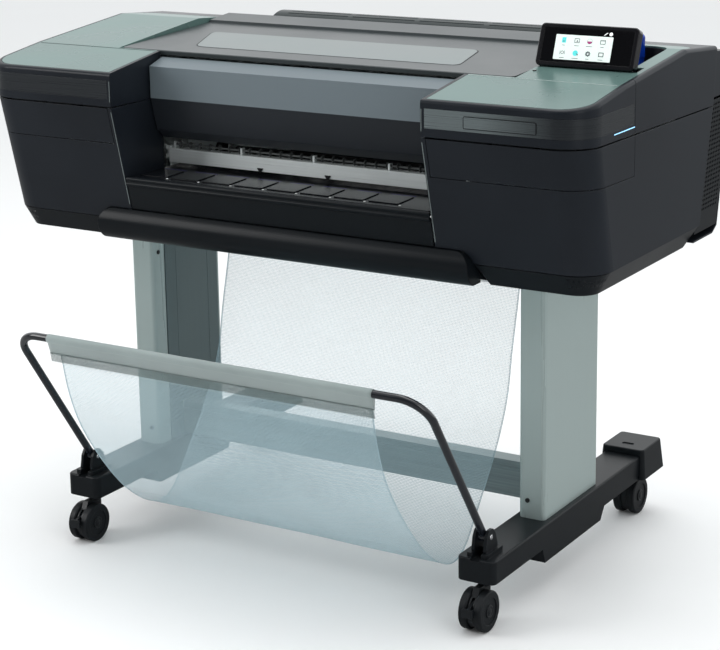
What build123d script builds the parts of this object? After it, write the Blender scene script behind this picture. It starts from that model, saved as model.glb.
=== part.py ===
from build123d import *
import os
from math import asin, atan2, cos, hypot, pi, radians, sin, sqrt

os.makedirs("parts", exist_ok=True)

# A 24 inch large format plotter on its stand.
# Millimetres, +Z up, X = 0 in the middle of the width, the front looks towards -Y and Z = 0 is the floor.

# ---- driving dimensions -------------------------------------------------------------------------
mid_y = 69.75            # the line midway between the casters lies this far behind the origin
half_width = 658.5       # half of the body's width
tower_inner = 342.0      # inner wall of each tower, from the middle
front_y = -347.0         # front of the towers, from the caster midline
front_lean = 0.245       # how far the front falls back for each mm below the shadow gap
gap_z = 907.0            # the shadow gap that runs round the body
tower_base_z = 674.0     # lower edge of the tower covers
door_base_z = 835.0      # lower edge of the ink doors
body_base_z = 632.0      # underside of the body, on top of the legs
corner_r = 65.0          # outer corners of the body, seen from above
wall = 3.0               # moulded wall
seam = 1.4               # gap between two covers
side_rear_top = (241.0, 1012.0)
top_points = [(-338.0, 975.0), (-180.0, 997.0), (92.0, 1024.0), side_rear_top]
rim = 11.0               # black rim round the coloured top panels
nose_y = -180.0          # front edge of the top cover
nose_x = 440.0           # half of the top cover's width
leg_x = 453.0            # middle of the legs, feet and casters
leg_top_z = 632.0
foot_top_z = 142.0
wheel_r = 39.0
caster_y = 340.0         # wheel centres, ahead of and behind the caster midline
stem_y = 318.0           # front swivel stems
rear_stem_y = 362.0      # rear swivel stems
running = 0.05           # radial clearance of a shaft in its bore
bin_pivot = (-320.0, 175.0)
bin_bar = (-532.0, 490.0)
tube_r = 7.5
roll_axis = (262.0, 948.0)
roll_cover_r = 80.0

hands = (("left", -1), ("right", 1))


# ---- drawing planes, all measured from the caster midline ---------------------------------------
def level(z):
    return Plane((0, mid_y, z))


def side(x):
    return Plane(origin=(x, mid_y, 0), x_dir=(0, 1, 0), z_dir=(1, 0, 0))


def front(y):
    return Plane(origin=(0, mid_y + y, 0), x_dir=(1, 0, 0), z_dir=(0, -1, 0))


def prism(plane, points, depth, mode=Mode.ADD, corner=0.0):
    """A closed outline on a plane, drawn out along the plane's normal."""
    with BuildSketch(plane) as outline:
        with BuildLine():
            Polyline(*points, close=True)
        make_face()
        if corner:
            fillet(outline.vertices(), corner)
    return extrude(outline.sketch, amount=depth, mode=mode)


def slab(plane, x0, x1, y0, y1, depth, mode=Mode.ADD, corner=0.0):
    """A rectangle on a plane, drawn out along the plane's normal."""
    with BuildSketch(plane) as outline:
        with Locations(((x0 + x1) / 2, (y0 + y1) / 2)):
            if corner:
                RectangleRounded(x1 - x0, y1 - y0, corner)
            else:
                Rectangle(x1 - x0, y1 - y0)
    return extrude(outline.sketch, amount=depth, mode=mode)


def rod(plane, x, y, radius, depth, mode=Mode.ADD):
    """A round bar standing on a plane."""
    with BuildSketch(plane) as outline:
        with Locations((x, y)):
            Circle(radius)
    return extrude(outline.sketch, amount=depth, mode=mode)


def ends(hand, near, far):
    """The two x values of a stretch given by its distances from the middle, lowest first."""
    return (near, far) if hand > 0 else (-far, -near)


def across(hand, near, far, points, mode=Mode.ADD, corner=0.0):
    """A side profile drawn out across the width, on the left or the right hand."""
    x0, x1 = ends(hand, near, far)
    return prism(side(x0), points, x1 - x0, mode, corner)


def brick(hand, near, far, y0, y1, z0, z1, mode=Mode.ADD, corner=0.0):
    x0, x1 = ends(hand, near, far)
    return slab(level(z0), x0, x1, y0, y1, z1 - z0, mode, corner)


def front_at(z):
    """Where the leaning front of the body is at a height."""
    return front_y + front_lean * max(0.0, gap_z - z)


def top_at(y):
    """Height of the towers' top at a distance behind the caster midline."""
    for (y0, z0), (y1, z1) in zip(top_points, top_points[1:]):
        if y <= y1:
            return z0 + (z1 - z0) * (y - y0) / (y1 - y0)
    return top_points[-1][1]


def tower_plan(hand, near, inset, rear, corner, z=600.0):
    """The towers' outline from above: one rounded corner, outer and front."""
    outer = half_width - inset
    y0 = front_y + inset
    points = [(hand * near, y0), (hand * outer, y0), (hand * outer, rear), (hand * near, rear)]
    with BuildSketch(level(z)) as plan:
        with BuildLine():
            Polyline(*points, close=True)
        make_face()
        corner_point = plan.vertices().sort_by_distance((hand * outer, mid_y + y0, z))[0]
        fillet(corner_point, corner)
    return plan.sketch


# ---- lower tower covers, ink doors and skirts ---------------------------------------------------
side_rear = [(228.0, 898.0), (173.0, tower_base_z)]
door_rear_y = -141.0
door_corner_r = 28.0
door_inner = 351.0
bumper_half = 416.0
bumper_top_z = 697.0
bumper_r = 30.0


def lower_block(hand, near, inset, z_low, z_high, rear_extra):
    """Leaning block with a rounded outer front corner, the shape of a tower below the gap."""
    shift = inset * sqrt(1 + front_lean ** 2)
    far = half_width - inset
    points = [
        (front_at(z_high) + shift - (front_lean * (z_high - gap_z) if z_high > gap_z else 0), z_high),
        (front_at(z_low) + shift, z_low),
        (side_rear[1][0] + rear_extra, z_low),
        (side_rear[0][0] + rear_extra, z_high),
    ]
    with BuildPart() as block:
        across(hand, near, far, points)
        edge = block.edges().filter_by(lambda e: abs(abs(e.center().X) - far) < 0.1)
        fillet(edge.sort_by(Axis.Y)[0], corner_r - inset)
    return block.part


def door_profile(grow):
    z_low = door_base_z - grow
    return [
        (front_at(gap_z) - 40, gap_z + 20 if grow else gap_z - seam),
        (front_at(z_low) - 40, z_low),
        (door_rear_y + grow, z_low - 5),
        (door_rear_y + grow, gap_z + 20 if grow else gap_z - seam - 3),
    ]


side_cover_shells = []
for name, hand in hands:
    outer = lower_block(hand, tower_inner, 0, tower_base_z + seam / 2, gap_z - seam, 0)
    hollow = lower_block(hand, tower_inner + wall, wall, tower_base_z - 10, gap_z + 10, 60)
    with BuildPart() as side_cover:
        add(outer)
        add(hollow, mode=Mode.SUBTRACT)
        # the tower is open to the middle behind the front cover
        brick(hand, tower_inner - 1, tower_inner + wall + 1, -184, 300, 600, 1000, Mode.SUBTRACT)
        # opening of the ink door, round the corner to the side
        across(hand, door_inner, half_width + 5, door_profile(seam), Mode.SUBTRACT)
        # room for the bumper's rounded end
        with BuildSketch(front(-400)) as bumper_room:
            with Locations((0, bumper_top_z - 60)):
                RectangleRounded(2 * (bumper_half + seam), 120 + 2 * seam, bumper_r)
        extrude(bumper_room.sketch, amount=-180, mode=Mode.SUBTRACT)
        # the gap round the side drops a little towards the rear
        across(hand, half_width - 10, half_width + 5,
               [(-340, gap_z - seam), (240, 896.6), (240, 930), (-340, 930)], Mode.SUBTRACT)
    side_cover_shells.append(side_cover.part)

    door_outer = lower_block(hand, door_inner + seam, 0, door_base_z - 10, gap_z - seam, 0)
    door_hollow = lower_block(hand, door_inner + seam - 5, wall, door_base_z - 20, gap_z + 10, 60)
    with BuildPart() as ink_door:
        add(door_outer)
        add(door_hollow, mode=Mode.SUBTRACT)
        with BuildSketch(side(-700)) as door_side:
            with BuildLine():
                Polyline(*door_profile(0), close=True)
            make_face()
            rear_low = (-700, mid_y + door_rear_y, door_base_z - 5)
            lower_rear = door_side.vertices().sort_by_distance(rear_low)[0]
            fillet(lower_rear, door_corner_r)
        extrude(door_side.sketch, amount=1400, mode=Mode.INTERSECT)
    ink_door.part.label = f"{name}_ink_door"
    export_step(ink_door.part, f"parts/{name}_ink_door.step")

with BuildPart() as side_covers:
    add(side_cover_shells)
side_covers.part.label = "side_covers"
export_step(side_covers.part, "parts/side_covers.step")

skirt_bottom_z = 634.0
skirt_taper = 28.0        # degrees the skirt draws in on its way down
skirt_rear_y = 172.0
skirt_shelf_z = 655.0     # the wider upper hollow starts here
with BuildPart() as skirts:
    for _, hand in hands:
        x0, x1 = ends(hand, bumper_half + 3, half_width - 3)
        y0 = front_at(tower_base_z) + 0.5
        with BuildSketch(level(tower_base_z - seam / 2)) as skirt_plan:
            with BuildLine():
                Polyline((x0, y0), (x1, y0), (x1, skirt_rear_y), (x0, skirt_rear_y), close=True)
            make_face()
            corner_at = (x1 if hand > 0 else x0, mid_y + y0, tower_base_z)
            fillet(skirt_plan.vertices().sort_by_distance(corner_at)[0], corner_r - 5)
        extrude(skirt_plan.sketch, amount=skirt_bottom_z - tower_base_z + seam / 2, taper=skirt_taper)
        # hollow from below, wider above the shelf, inside the drawn-in walls
        brick(hand, bumper_half + 8, half_width - 38, y0 + 36, skirt_rear_y - 24, 600, 700, Mode.SUBTRACT)
        brick(hand, bumper_half + 8, half_width - 20, y0 + 18, skirt_rear_y - 18, skirt_shelf_z, 700,
              Mode.SUBTRACT, 16)
    with BuildSketch(front(-400)) as skirt_room:
        with Locations((0, bumper_top_z - 60)):
            RectangleRounded(2 * (bumper_half + seam), 120 + 2 * seam, bumper_r)
    extrude(skirt_room.sketch, amount=-180, mode=Mode.SUBTRACT)
skirts.part.label = "skirts"
export_step(skirts.part, "parts/skirts.step")

# ---- upper tower covers, front bands, brushed strips and top panels -----------------------------
upper_rear = [(241.0, 1012.0), (228.4, 899.6)]
band_rear_y = -141.0
panel_front_y = front_y + 9.0
panel_rear_y = 165.0
rim_fillet = 7.0


def upper_block(hand, near, inset):
    """A tower above the gap, with its sloping top and one rounded corner."""
    lift = 10 if inset else 0
    points = [
        (front_y + inset, gap_z + seam - lift),
        (front_y + inset, top_points[0][1] - inset - 1.5),
        *[(y - (inset if y > 200 else 0), z - inset) for y, z in top_points[1:]],
        (upper_rear[1][0] - inset, upper_rear[1][1] - lift),
    ]
    x0, x1 = ends(hand, near, half_width + 20)
    with BuildPart() as block:
        prism(side(x0), points, x1 - x0)
        plan = tower_plan(hand, near - 5, inset, 300, corner_r - inset)
        extrude(plan, amount=600, mode=Mode.INTERSECT)
        if not inset:
            top_edges = block.edges().filter_by(lambda e: e.center().Z > 962)
            outer_edges = top_edges.filter_by(
                lambda e: abs(e.center().X) > half_width - corner_r * 0.9
                or e.center().Y < mid_y + front_y + 0.1)
            rim_edges = outer_edges.filter_by(
                lambda e: e.center().Y < mid_y + 239 and abs(e.center().X) > near + 1)
            fillet(rim_edges, rim_fillet)
    return block.part


def panel_plan(hand, grow):
    """Outline of the coloured panel on top of a tower; it narrows behind the top cover's nose."""
    outer = half_width - rim + grow
    points = [
        (hand * (tower_inner + 8 - grow), panel_front_y - grow),
        (hand * outer, panel_front_y - grow),
        (hand * outer, panel_rear_y + grow),
        (hand * (nose_x + 5 - grow), panel_rear_y + grow),
        (hand * (nose_x + 5 - grow), nose_y - 2),
        (hand * (tower_inner + 8 - grow), nose_y - 2),
    ]
    with BuildSketch(level(900)) as plan:
        with BuildLine():
            Polyline(*points, close=True)
        make_face()
        front_corner = plan.vertices().sort_by_distance((hand * outer, mid_y + panel_front_y, 900))[0]
        fillet(front_corner, corner_r - rim)
        rear_corner = plan.vertices().sort_by_distance((hand * outer, mid_y + panel_rear_y, 900))[0]
        fillet(rear_corner, 40)
    return plan.sketch


strip_z = (924.0, 959.0)
strip_depth = 1.2
strip_near = tower_inner + 8
strip_rear_y = band_rear_y - 4


def strip_ring(hand, grow):
    """The brushed strip let into the front band, round the corner to the side."""
    z0 = strip_z[0] - grow
    height = strip_z[1] - strip_z[0] + 2 * grow
    skin = tower_plan(hand, strip_near - grow, 0, strip_rear_y + grow, corner_r, z0)
    core = tower_plan(hand, strip_near - 5, strip_depth, 100, corner_r - strip_depth, z0 - 1)
    with BuildPart() as ring:
        extrude(skin, amount=height)
        extrude(core, amount=height + 2, mode=Mode.SUBTRACT)
    return ring.part


band_shells = []
upper_shells = []
for _, hand in hands:
    outer = upper_block(hand, tower_inner, 0)
    hollow = upper_block(hand, tower_inner + wall, wall)
    opening = panel_plan(hand, 0.7)
    with BuildPart() as front_band:
        add(outer)
        add(hollow, mode=Mode.SUBTRACT)
        extrude(opening, amount=200, mode=Mode.SUBTRACT)
        brick(hand, tower_inner - 1, nose_x + 4.4, -184, 300, 880, 1100, Mode.SUBTRACT)
        brick(hand, 300, 700, band_rear_y - seam / 2, 400, 880, 1100, Mode.SUBTRACT)
        add(strip_ring(hand, 0.4), mode=Mode.SUBTRACT)
    band_shells.append(front_band.part)

    with BuildPart() as upper_cover:
        add(outer)
        add(hollow, mode=Mode.SUBTRACT)
        extrude(opening, amount=200, mode=Mode.SUBTRACT)
        brick(hand, tower_inner - 1, nose_x + 4.4, -400, 300, 880, 1100, Mode.SUBTRACT)
        brick(hand, 300, 700, -400, band_rear_y + seam / 2, 880, 1100, Mode.SUBTRACT)
        if hand > 0:
            slab(level(960), 437, 638.5, -95, -59, 200, Mode.SUBTRACT)
    upper_shells.append(upper_cover.part)

with BuildPart() as front_bands:
    add(band_shells)
front_bands.part.label = "front_bands"
export_step(front_bands.part, "parts/front_bands.step")

with BuildPart() as upper_covers:
    add(upper_shells)
upper_covers.part.label = "upper_covers"
export_step(upper_covers.part, "parts/upper_covers.step")

with BuildPart() as band_strips:
    for _, hand in hands:
        add(strip_ring(hand, 0))
band_strips.part.label = "band_strips"
export_step(band_strips.part, "parts/band_strips.step")

# the right panel has the pen tray's opening, the display's slot and the power button's hole
panel_t = 3.0
tray_x = (452.0, 620.0)
tray_y = (-60.0, 130.0)
tray_corner = 55.0
display_pivot = (-74.0, 999.0)
button_xy = (455.0, -128.0)
button_r = 3.5
for name, hand in hands:
    plan = panel_plan(hand, 0)
    lower_points = [(y, z - panel_t) for y, z in reversed(top_points)]
    with BuildPart() as top_panel:
        across(hand, tower_inner, half_width, [*top_points, *lower_points])
        extrude(plan, amount=200, mode=Mode.INTERSECT)
        # flange down the step beside the top cover
        across(hand, nose_x + 5, nose_x + 8,
               [(nose_y + 6, 975), (nose_y + 6, top_at(nose_y + 6) - 0.5), (92, 1023.5),
                (panel_rear_y, top_at(panel_rear_y) - 0.5), (panel_rear_y, 985)])
        if hand > 0:
            with BuildSketch(level(900)) as tray_hole:
                with BuildLine():
                    Polyline((tray_x[0], tray_y[0]), (tray_x[1], tray_y[0]), (tray_x[1], tray_y[1]),
                             (tray_x[0], tray_y[1]), close=True)
                make_face()
                rear_right = tray_hole.vertices().sort_by_distance((tray_x[1], mid_y + tray_y[1], 900))[0]
                fillet(rear_right, tray_corner)
            extrude(tray_hole.sketch, amount=200, mode=Mode.SUBTRACT)
            slab(level(900), 437, 638.5, -95, tray_y[0] + 1, 200, Mode.SUBTRACT)
            rod(level(900), *button_xy, button_r + 0.4, 200, Mode.SUBTRACT)
    top_panel.part.label = f"{name}_top_panel"
    export_step(top_panel.part, f"parts/{name}_top_panel.step")

# ---- display on its tilting foot, pen tray, pen and power button --------------------------------
with BuildPart() as pen_tray:
    tray_top = [(tray_y[0] + 1, top_at(tray_y[0]) - panel_t - 0.3), (92, 1024 - panel_t - 0.3),
                (tray_y[1] - 1, top_at(tray_y[1]) - panel_t - 0.3)]
    prism(side(tray_x[0] + 1), [(tray_y[0] + 1, 968), *tray_top, (tray_y[1] - 1, 968)],
          tray_x[1] - tray_x[0] - 2)
    edge = pen_tray.edges().filter_by(Axis.Z).sort_by_distance((tray_x[1], mid_y + tray_y[1], 990))[0]
    fillet(edge, tray_corner - 1)
    with BuildSketch(level(971)) as tray_room:
        with BuildLine():
            Polyline((tray_x[0] + 4, tray_y[0] + 4), (tray_x[1] - 4, tray_y[0] + 4),
                     (tray_x[1] - 4, tray_y[1] - 4), (tray_x[0] + 4, tray_y[1] - 4), close=True)
        make_face()
        far_corner = tray_room.vertices().sort_by_distance((tray_x[1], mid_y + tray_y[1], 971))[0]
        fillet(far_corner, tray_corner - 4)
    extrude(tray_room.sketch, amount=100, mode=Mode.SUBTRACT)
    # two lugs and the pin that carry the display's foot
    for x in (493.5, 572.5):
        slab(level(985), x, x + 4, -82, tray_y[0] + 1, 1003 - 985)
    rod(side(493.5), *display_pivot, 3.0, 83)
pen_tray.part.label = "pen_tray"
export_step(pen_tray.part, "parts/pen_tray.step")

display_tilt = 21.0       # degrees back from upright
display_size = (194.0, 79.0, 17.0)
display_left = 441.0
display_foot = (-100.0, 1008.4)
tilt = radians(display_tilt)
display_plane = Plane(origin=(display_left, mid_y + display_foot[0], display_foot[1]), x_dir=(1, 0, 0),
                      z_dir=(0, -cos(tilt), sin(tilt)))
with BuildPart() as display_housing:
    slab(display_plane, 0, display_size[0], 0, display_size[1], -display_size[2], corner=9.0)
    by_depth = display_housing.edges().group_by(
        lambda e: round(display_plane.to_local_coords(e.center()).Z, 2))
    chamfer(by_depth[-1], 1.5)
    # recess of the glass
    glass_recess = display_plane.offset(-2.0)
    slab(glass_recess, 8, display_size[0] - 8, 8, display_size[1] - 8, 10, Mode.SUBTRACT, 3.0)
    # the foot runs down to the pin
    neck_top = display_plane.from_local_coords((0, 22, -display_size[2] + 1))
    prism(side(499), [(display_pivot[0] - 5, display_pivot[1]), (neck_top.Y - mid_y - 13, neck_top.Z - 14),
                      (neck_top.Y - mid_y, neck_top.Z), (display_pivot[0] + 6, display_pivot[1] + 6)], 72)
    rod(side(499), display_pivot[0], display_pivot[1], 6.0, 72)
    rod(side(490), display_pivot[0], display_pivot[1], 3.0 + running, 90, Mode.SUBTRACT)
display_housing.part.label = "display_housing"
export_step(display_housing.part, "parts/display_housing.step")

with BuildPart() as display_glass:
    slab(glass_recess, 8.4, display_size[0] - 8.4, 8.4, display_size[1] - 8.4, 1.6, corner=2.6)
display_glass.part.label = "display_glass"
export_step(display_glass.part, "parts/display_glass.step")

pen_xy = (556.0, 112.0)
with BuildPart() as pen:
    rod(level(971.3), *pen_xy, 7.5, 30)
    rod(level(1001.3), *pen_xy, 9.0, 44)
    fillet(pen.edges().group_by(Axis.Z)[-1], 7.0)
pen.part.label = "pen"
export_step(pen.part, "parts/pen.step")

button_z = top_at(button_xy[1])
with BuildPart() as power_button:
    rod(level(button_z - 12), *button_xy, button_r, 13.4)
    fillet(power_button.edges().group_by(Axis.Z)[-1], 0.8)
    rod(level(button_z - 12), *button_xy, button_r + 1.2, 3)
power_button.part.label = "power_button"
export_step(power_button.part, "parts/power_button.step")

# ---- top cover with its nose and raised rear strip, front cover ----------------------------------
cover_rear_y = 200.0
cover_rise = 0.0508
strip_front_y = 122.0


def cover_z(y):
    return 997.0 + cover_rise * (y - nose_y)


with BuildPart() as top_cover:
    prism(side(-nose_x), [
        (nose_y, cover_z(nose_y) - 1), (nose_y + 2, cover_z(nose_y) + 0.4),
        (strip_front_y, cover_z(strip_front_y)), (strip_front_y + 3, cover_z(strip_front_y) + 5), (cover_rear_y - 5, cover_z(cover_rear_y) + 8),
        (cover_rear_y, cover_z(cover_rear_y) + 4), (cover_rear_y, cover_z(cover_rear_y) - 12),
        (cover_rear_y - 3, cover_z(cover_rear_y) - 12), (cover_rear_y - 4, cover_z(cover_rear_y) - 4),
        (nose_y + 14, cover_z(nose_y) - 3.4), (nose_y + 6, 988.5), (nose_y, 988.5),
    ], 2 * nose_x)
    nose_corners = top_cover.edges().filter_by(lambda e: e.center().Y < mid_y + nose_y + 0.1
                                               and abs(e.center().X) > nose_x - 0.1)
    fillet(nose_corners, 10)
top_cover.part.label = "top_cover"
export_step(top_cover.part, "parts/top_cover.step")

window_half = tower_inner - 4
window_outer = [(-184, 985), (-226, 972), (-226, 909), (-209, 844), (-188, 825)]
window_inner = [(-184.5, 829.5), (-205, 847), (-222, 910), (-222, 968), (-184, 980)]
with BuildPart() as front_cover:
    prism(side(-window_half), [*window_outer, *window_inner], 2 * window_half)
    # stub pins at the upper corners
    for x0 in (-window_half - 3.2, window_half - 14):
        rod(side(x0), -190.0, 978.5, 2.5, 17.2)
front_cover.part.label = "front_cover"
export_step(front_cover.part, "parts/front_cover.step")

# ---- rear: caps, panel, grilles and roll cover ---------------------------------------------------
rear_half = 648.0
rear_top_y = 345.0
rear_low_y = 296.0
grille_z = (684.0, 905.0)
cap_inner = 350.0
with BuildPart() as rear_caps:
    for _, hand in hands:
        across(hand, cap_inner, rear_half + 2,
               [(232.5, 911), (244, 1001), (330, 993), (348, 985), (348, 911)], corner=4)
        across(hand, cap_inner + 3, rear_half - 1, [(228, 905), (247, 997.5), (329, 989.5), (345, 982), (345, 905)],
               Mode.SUBTRACT)
rear_caps.part.label = "rear_caps"
export_step(rear_caps.part, "parts/rear_caps.step")

rear_lean = (rear_top_y - rear_low_y) / (grille_z[1] - grille_z[0])


def rear_at(z):
    return rear_top_y - rear_lean * (grille_z[1] - z)


def side_rear_at(z):
    (y0, z0), (y1, z1) = side_rear
    return y0 + (y1 - y0) * (z - z0) / (z1 - z0)


inlet_x = -540.0
inlet_z = 742.0
with BuildPart() as rear_panel:
    prism(side(-rear_half), [(rear_at(909.5) - 3, 909.5), (rear_at(909.5), 909.5), (rear_at(652), 652),
                             (rear_at(652) - 22, 640), (170, 640), (170, 643), (rear_at(652) - 23, 643),
                             (rear_at(654) - 3, 654)], 2 * rear_half)
    with BuildSketch(front(400)) as inlet_hole:
        with Locations((inlet_x, inlet_z)):
            Rectangle(52, 34)
    extrude(inlet_hole.sketch, amount=160, mode=Mode.SUBTRACT)
rear_panel.part.label = "rear_panel"
export_step(rear_panel.part, "parts/rear_panel.step")

grille_t = 2.5
hole_pitch = 8.6
with BuildPart() as vent_grilles:
    for _, hand in hands:
        x0, x1 = ends(hand, rear_half - grille_t, rear_half)
        plate = [(side_rear_at(905) + 2.5, 905), (rear_at(905) - 4, 905), (rear_at(654) - 5, 656),
                 (side_rear_at(656) + 4, 656)]
        prism(side(x0), plate, grille_t)
        rows = 24
        with BuildSketch(side(x0 - 1)) as holes:
            for row in range(rows):
                z = 896.0 - row * hole_pitch
                start = side_rear_at(z) + 10 + (hole_pitch / 2 if row % 2 else 0)
                count = int((rear_at(z) - 12 - start) / hole_pitch) + 1
                with Locations(*[(start + k * hole_pitch, z) for k in range(count)]):
                    RegularPolygon(3.3, 4, rotation=0)
        extrude(holes.sketch, amount=grille_t + 2, mode=Mode.SUBTRACT)
vent_grilles.part.label = "vent_grilles"
export_step(vent_grilles.part, "parts/vent_grilles.step")

roll_half = 346.0
flute_count = 6
flute_group = 150.0
roll_hinge = (338.0, 914.0)
with BuildPart() as roll_cover:
    with BuildSketch(side(-roll_half)) as shell_side:
        with BuildLine():
            CenterArc(roll_axis, roll_cover_r, -20, 156)
            CenterArc(roll_axis, roll_cover_r - 3, -20, 156)
            for turn in (-20, 136):
                out = (cos(radians(turn)), sin(radians(turn)))
                Line((roll_axis[0] + (roll_cover_r - 3) * out[0], roll_axis[1] + (roll_cover_r - 3) * out[1]),
                     (roll_axis[0] + roll_cover_r * out[0], roll_axis[1] + roll_cover_r * out[1]))
        make_face()
    extrude(shell_side.sketch, amount=2 * roll_half)
    # hinge barrels, webbed to the shell's lower rear edge
    for x in (-300.0, 260.0):
        rod(side(x), *roll_hinge, 4.5, 40)
        slab(side(x), roll_hinge[0] - 3.3, roll_hinge[0] - 0.9, roll_hinge[1], roll_hinge[1] + 9.5, 40)
    # end walls
    for x0 in (-roll_half, roll_half - 3):
        with BuildSketch(side(x0)) as end_wall:
            with BuildLine():
                arc = CenterArc(roll_axis, roll_cover_r - 2, 10, 120)
                Line(arc @ 1, arc @ 0)
            make_face()
        extrude(end_wall.sketch, amount=3)
    # groups of fine flutes along the top, with plain bands between them
    for group in range(4):
        x0 = -roll_half + 30 + group * (flute_group + 12)
        for k in range(flute_count):
            angle = radians(62 + 11 * k)
            rod(side(x0), roll_axis[0] + (roll_cover_r + 0.6) * cos(angle),
                roll_axis[1] + (roll_cover_r + 0.6) * sin(angle), 2.2, flute_group, Mode.SUBTRACT)
roll_cover.part.label = "roll_cover"
export_step(roll_cover.part, "parts/roll_cover.step")

# ---- front: platen, lower panel with its double lip, bumper ---------------------------------------
platen_z = 765.0
platen_front_y = -305.0
platen_half = 332.5
with BuildPart() as platen:
    prism(side(-platen_half), [(platen_front_y, platen_z - 10), (platen_front_y, platen_z - 3),
                               (platen_front_y + 3, platen_z), (38, platen_z), (38, platen_z - 10)],
          2 * platen_half)
    # shallow cells between the ribs of the print platen, behind the beam
    with BuildSketch(level(platen_z - 2)) as cells:
        with Locations((0, -70)):
            with GridLocations(34, 0, 19, 1):
                RectangleRounded(27, 120, 5)
    extrude(cells.sketch, amount=5, mode=Mode.SUBTRACT)
platen.part.label = "platen"
export_step(platen.part, "parts/platen.step")

lip_half = tower_inner - 2.5
panel_low_z = 699.0
with BuildPart() as front_panel:
    prism(side(-lip_half), [(front_at(752), 752), (front_at(panel_low_z), panel_low_z),
                            (front_at(panel_low_z) + 3, panel_low_z), (front_at(752) + 3, 752)],
          2 * lip_half)
    rod(side(-lip_half), front_at(752) - 1.0, 752, 4.2, 2 * lip_half)
    rod(side(-lip_half), platen_front_y - 4.4, 761.5, 4.0, 2 * lip_half)
    prism(side(-lip_half), [(-311.5, 761), (-312, 752), (-308, 752), (-308, 761)], 2 * lip_half)
front_panel.part.label = "front_panel"
export_step(front_panel.part, "parts/front_panel.step")


def bumper_solid(inset):
    y_top = front_at(bumper_top_z) - 4 + inset
    with BuildPart() as block:
        with BuildSketch(side(-500)) as profile:
            with BuildLine():
                ThreePointArc((y_top, bumper_top_z), (y_top - 13, 664), (y_top + 9, skirt_bottom_z))
                Polyline((y_top + 9, skirt_bottom_z), (-262, skirt_bottom_z), (-262, bumper_top_z),
                         (y_top, bumper_top_z))
            make_face()
        extrude(profile.sketch, amount=1000)
        with BuildSketch(front(-400)) as outline:
            with Locations((0, bumper_top_z - 60 - inset)):
                RectangleRounded(2 * (bumper_half - inset), 120, bumper_r - inset)
        extrude(outline.sketch, amount=-200, mode=Mode.INTERSECT)
    return block.part


bumper_shell = bumper_solid(0)
bumper_room_inside = bumper_solid(wall)
with BuildPart() as bumper:
    add(bumper_shell)
    add(bumper_room_inside, mode=Mode.SUBTRACT)
    fillet(bumper.edges().filter_by(lambda e: e.center().Y < mid_y - 284 and e.center().Z > 640
                                    and e.length > 20).sort_by(Axis.Z)[-1], 1.2)
bumper.part.label = "bumper"
export_step(bumper.part, "parts/bumper.step")

# ---- chassis, brackets and paper path --------------------------------------------------------------
end_frame_x = 612.0
with BuildPart() as chassis:
    slab(level(body_base_z), -end_frame_x - 3, end_frame_x + 3, -250, 146, 4)
    for _, hand in hands:
        across(hand, end_frame_x, end_frame_x + 3,
               [(-150, body_base_z + 2), (146, body_base_z + 2), (146, 955), (-100, 960),
                (-150, 820)])
chassis.part.label = "chassis"
export_step(chassis.part, "parts/chassis.step")

feed_axis = (62.0, 751.0)
feed_r = 13.8
journal_r = 6.0
spindle_journal_r = 8.0
bracket_x = (336.0, 341.0)
with BuildPart() as frame_brackets:
    for _, hand in hands:
        across(hand, *bracket_x,
               [(20, body_base_z + 4), (140, body_base_z + 4), (262, 668), (282, 905), (282, 966),
                (242, 966), (242, 800), (92, 790), (40, 790)])
        x0, x1 = ends(hand, bracket_x[0] - 2, bracket_x[1] + 2)
        rod(side(x0), *feed_axis, journal_r + running, x1 - x0, Mode.SUBTRACT)
        rod(side(x0), *roll_axis, spindle_journal_r + running, x1 - x0, Mode.SUBTRACT)
        # deck that closes the roll bay beside the roll cover
        brick(hand, 347.5, nose_x + 2, 202, 229.5, 968, 971)
frame_brackets.part.label = "frame_brackets"
export_step(frame_brackets.part, "parts/frame_brackets.step")

beam_y = (-178.0, -156.0)
beam_z = (773.0, 801.0)
beam_x = (-333.0, end_frame_x)
star_axis = (-167.0, 808.5)
star_pitch = 24.0
star_count = 27
star_first = -312.0
post_x = (-324.0, -162.0, 6.0, 174.0, 342.0)
with BuildPart() as front_beam:
    slab(level(beam_z[0]), *beam_x, *beam_y, beam_z[1] - beam_z[0])
    slab(level(beam_z[0] + 2), beam_x[0] - 1, beam_x[1] + 1, beam_y[0] + 2, beam_y[1] + 1,
         beam_z[1] - beam_z[0] - 4, Mode.SUBTRACT)
    # notched end bracket on the left, with a leg down to the chassis
    slab(level(body_base_z + 4), beam_x[0] - 2, beam_x[0], beam_y[0] + 4, beam_y[1],
         beam_z[1] - body_base_z)
    slab(level(beam_z[0] + 6), beam_x[0] - 13, beam_x[0] - 2, beam_y[0] + 6, beam_y[0] + 8, 26)
    slab(level(beam_z[0] + 14), beam_x[0] - 14, beam_x[0] - 8, beam_y[0] + 5, beam_y[0] + 9, 9,
         Mode.SUBTRACT)
    for x in post_x:
        slab(level(beam_z[1] - 0.5), x - 2, x + 2, star_axis[0] - 5, star_axis[0] + 5, 13)
        rod(side(x - 3), *star_axis, 2 + running, 6, Mode.SUBTRACT)
front_beam.part.label = "front_beam"
export_step(front_beam.part, "parts/front_beam.step")

with BuildPart() as star_wheels:
    rod(side(post_x[0] - 5), *star_axis, 2, post_x[-1] - post_x[0] + 10)
    for k in range(star_count):
        x = star_first + k * star_pitch
        if min(abs(x - post) for post in post_x) > 4:
            with BuildSketch(side(x - 0.6)) as star:
                with Locations(star_axis):
                    Circle(6.0)
                    with PolarLocations(6.2, 12):
                        Circle(0.7)
            extrude(star.sketch, amount=1.2)
star_wheels.part.label = "star_wheels"
export_step(star_wheels.part, "parts/star_wheels.step")

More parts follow.
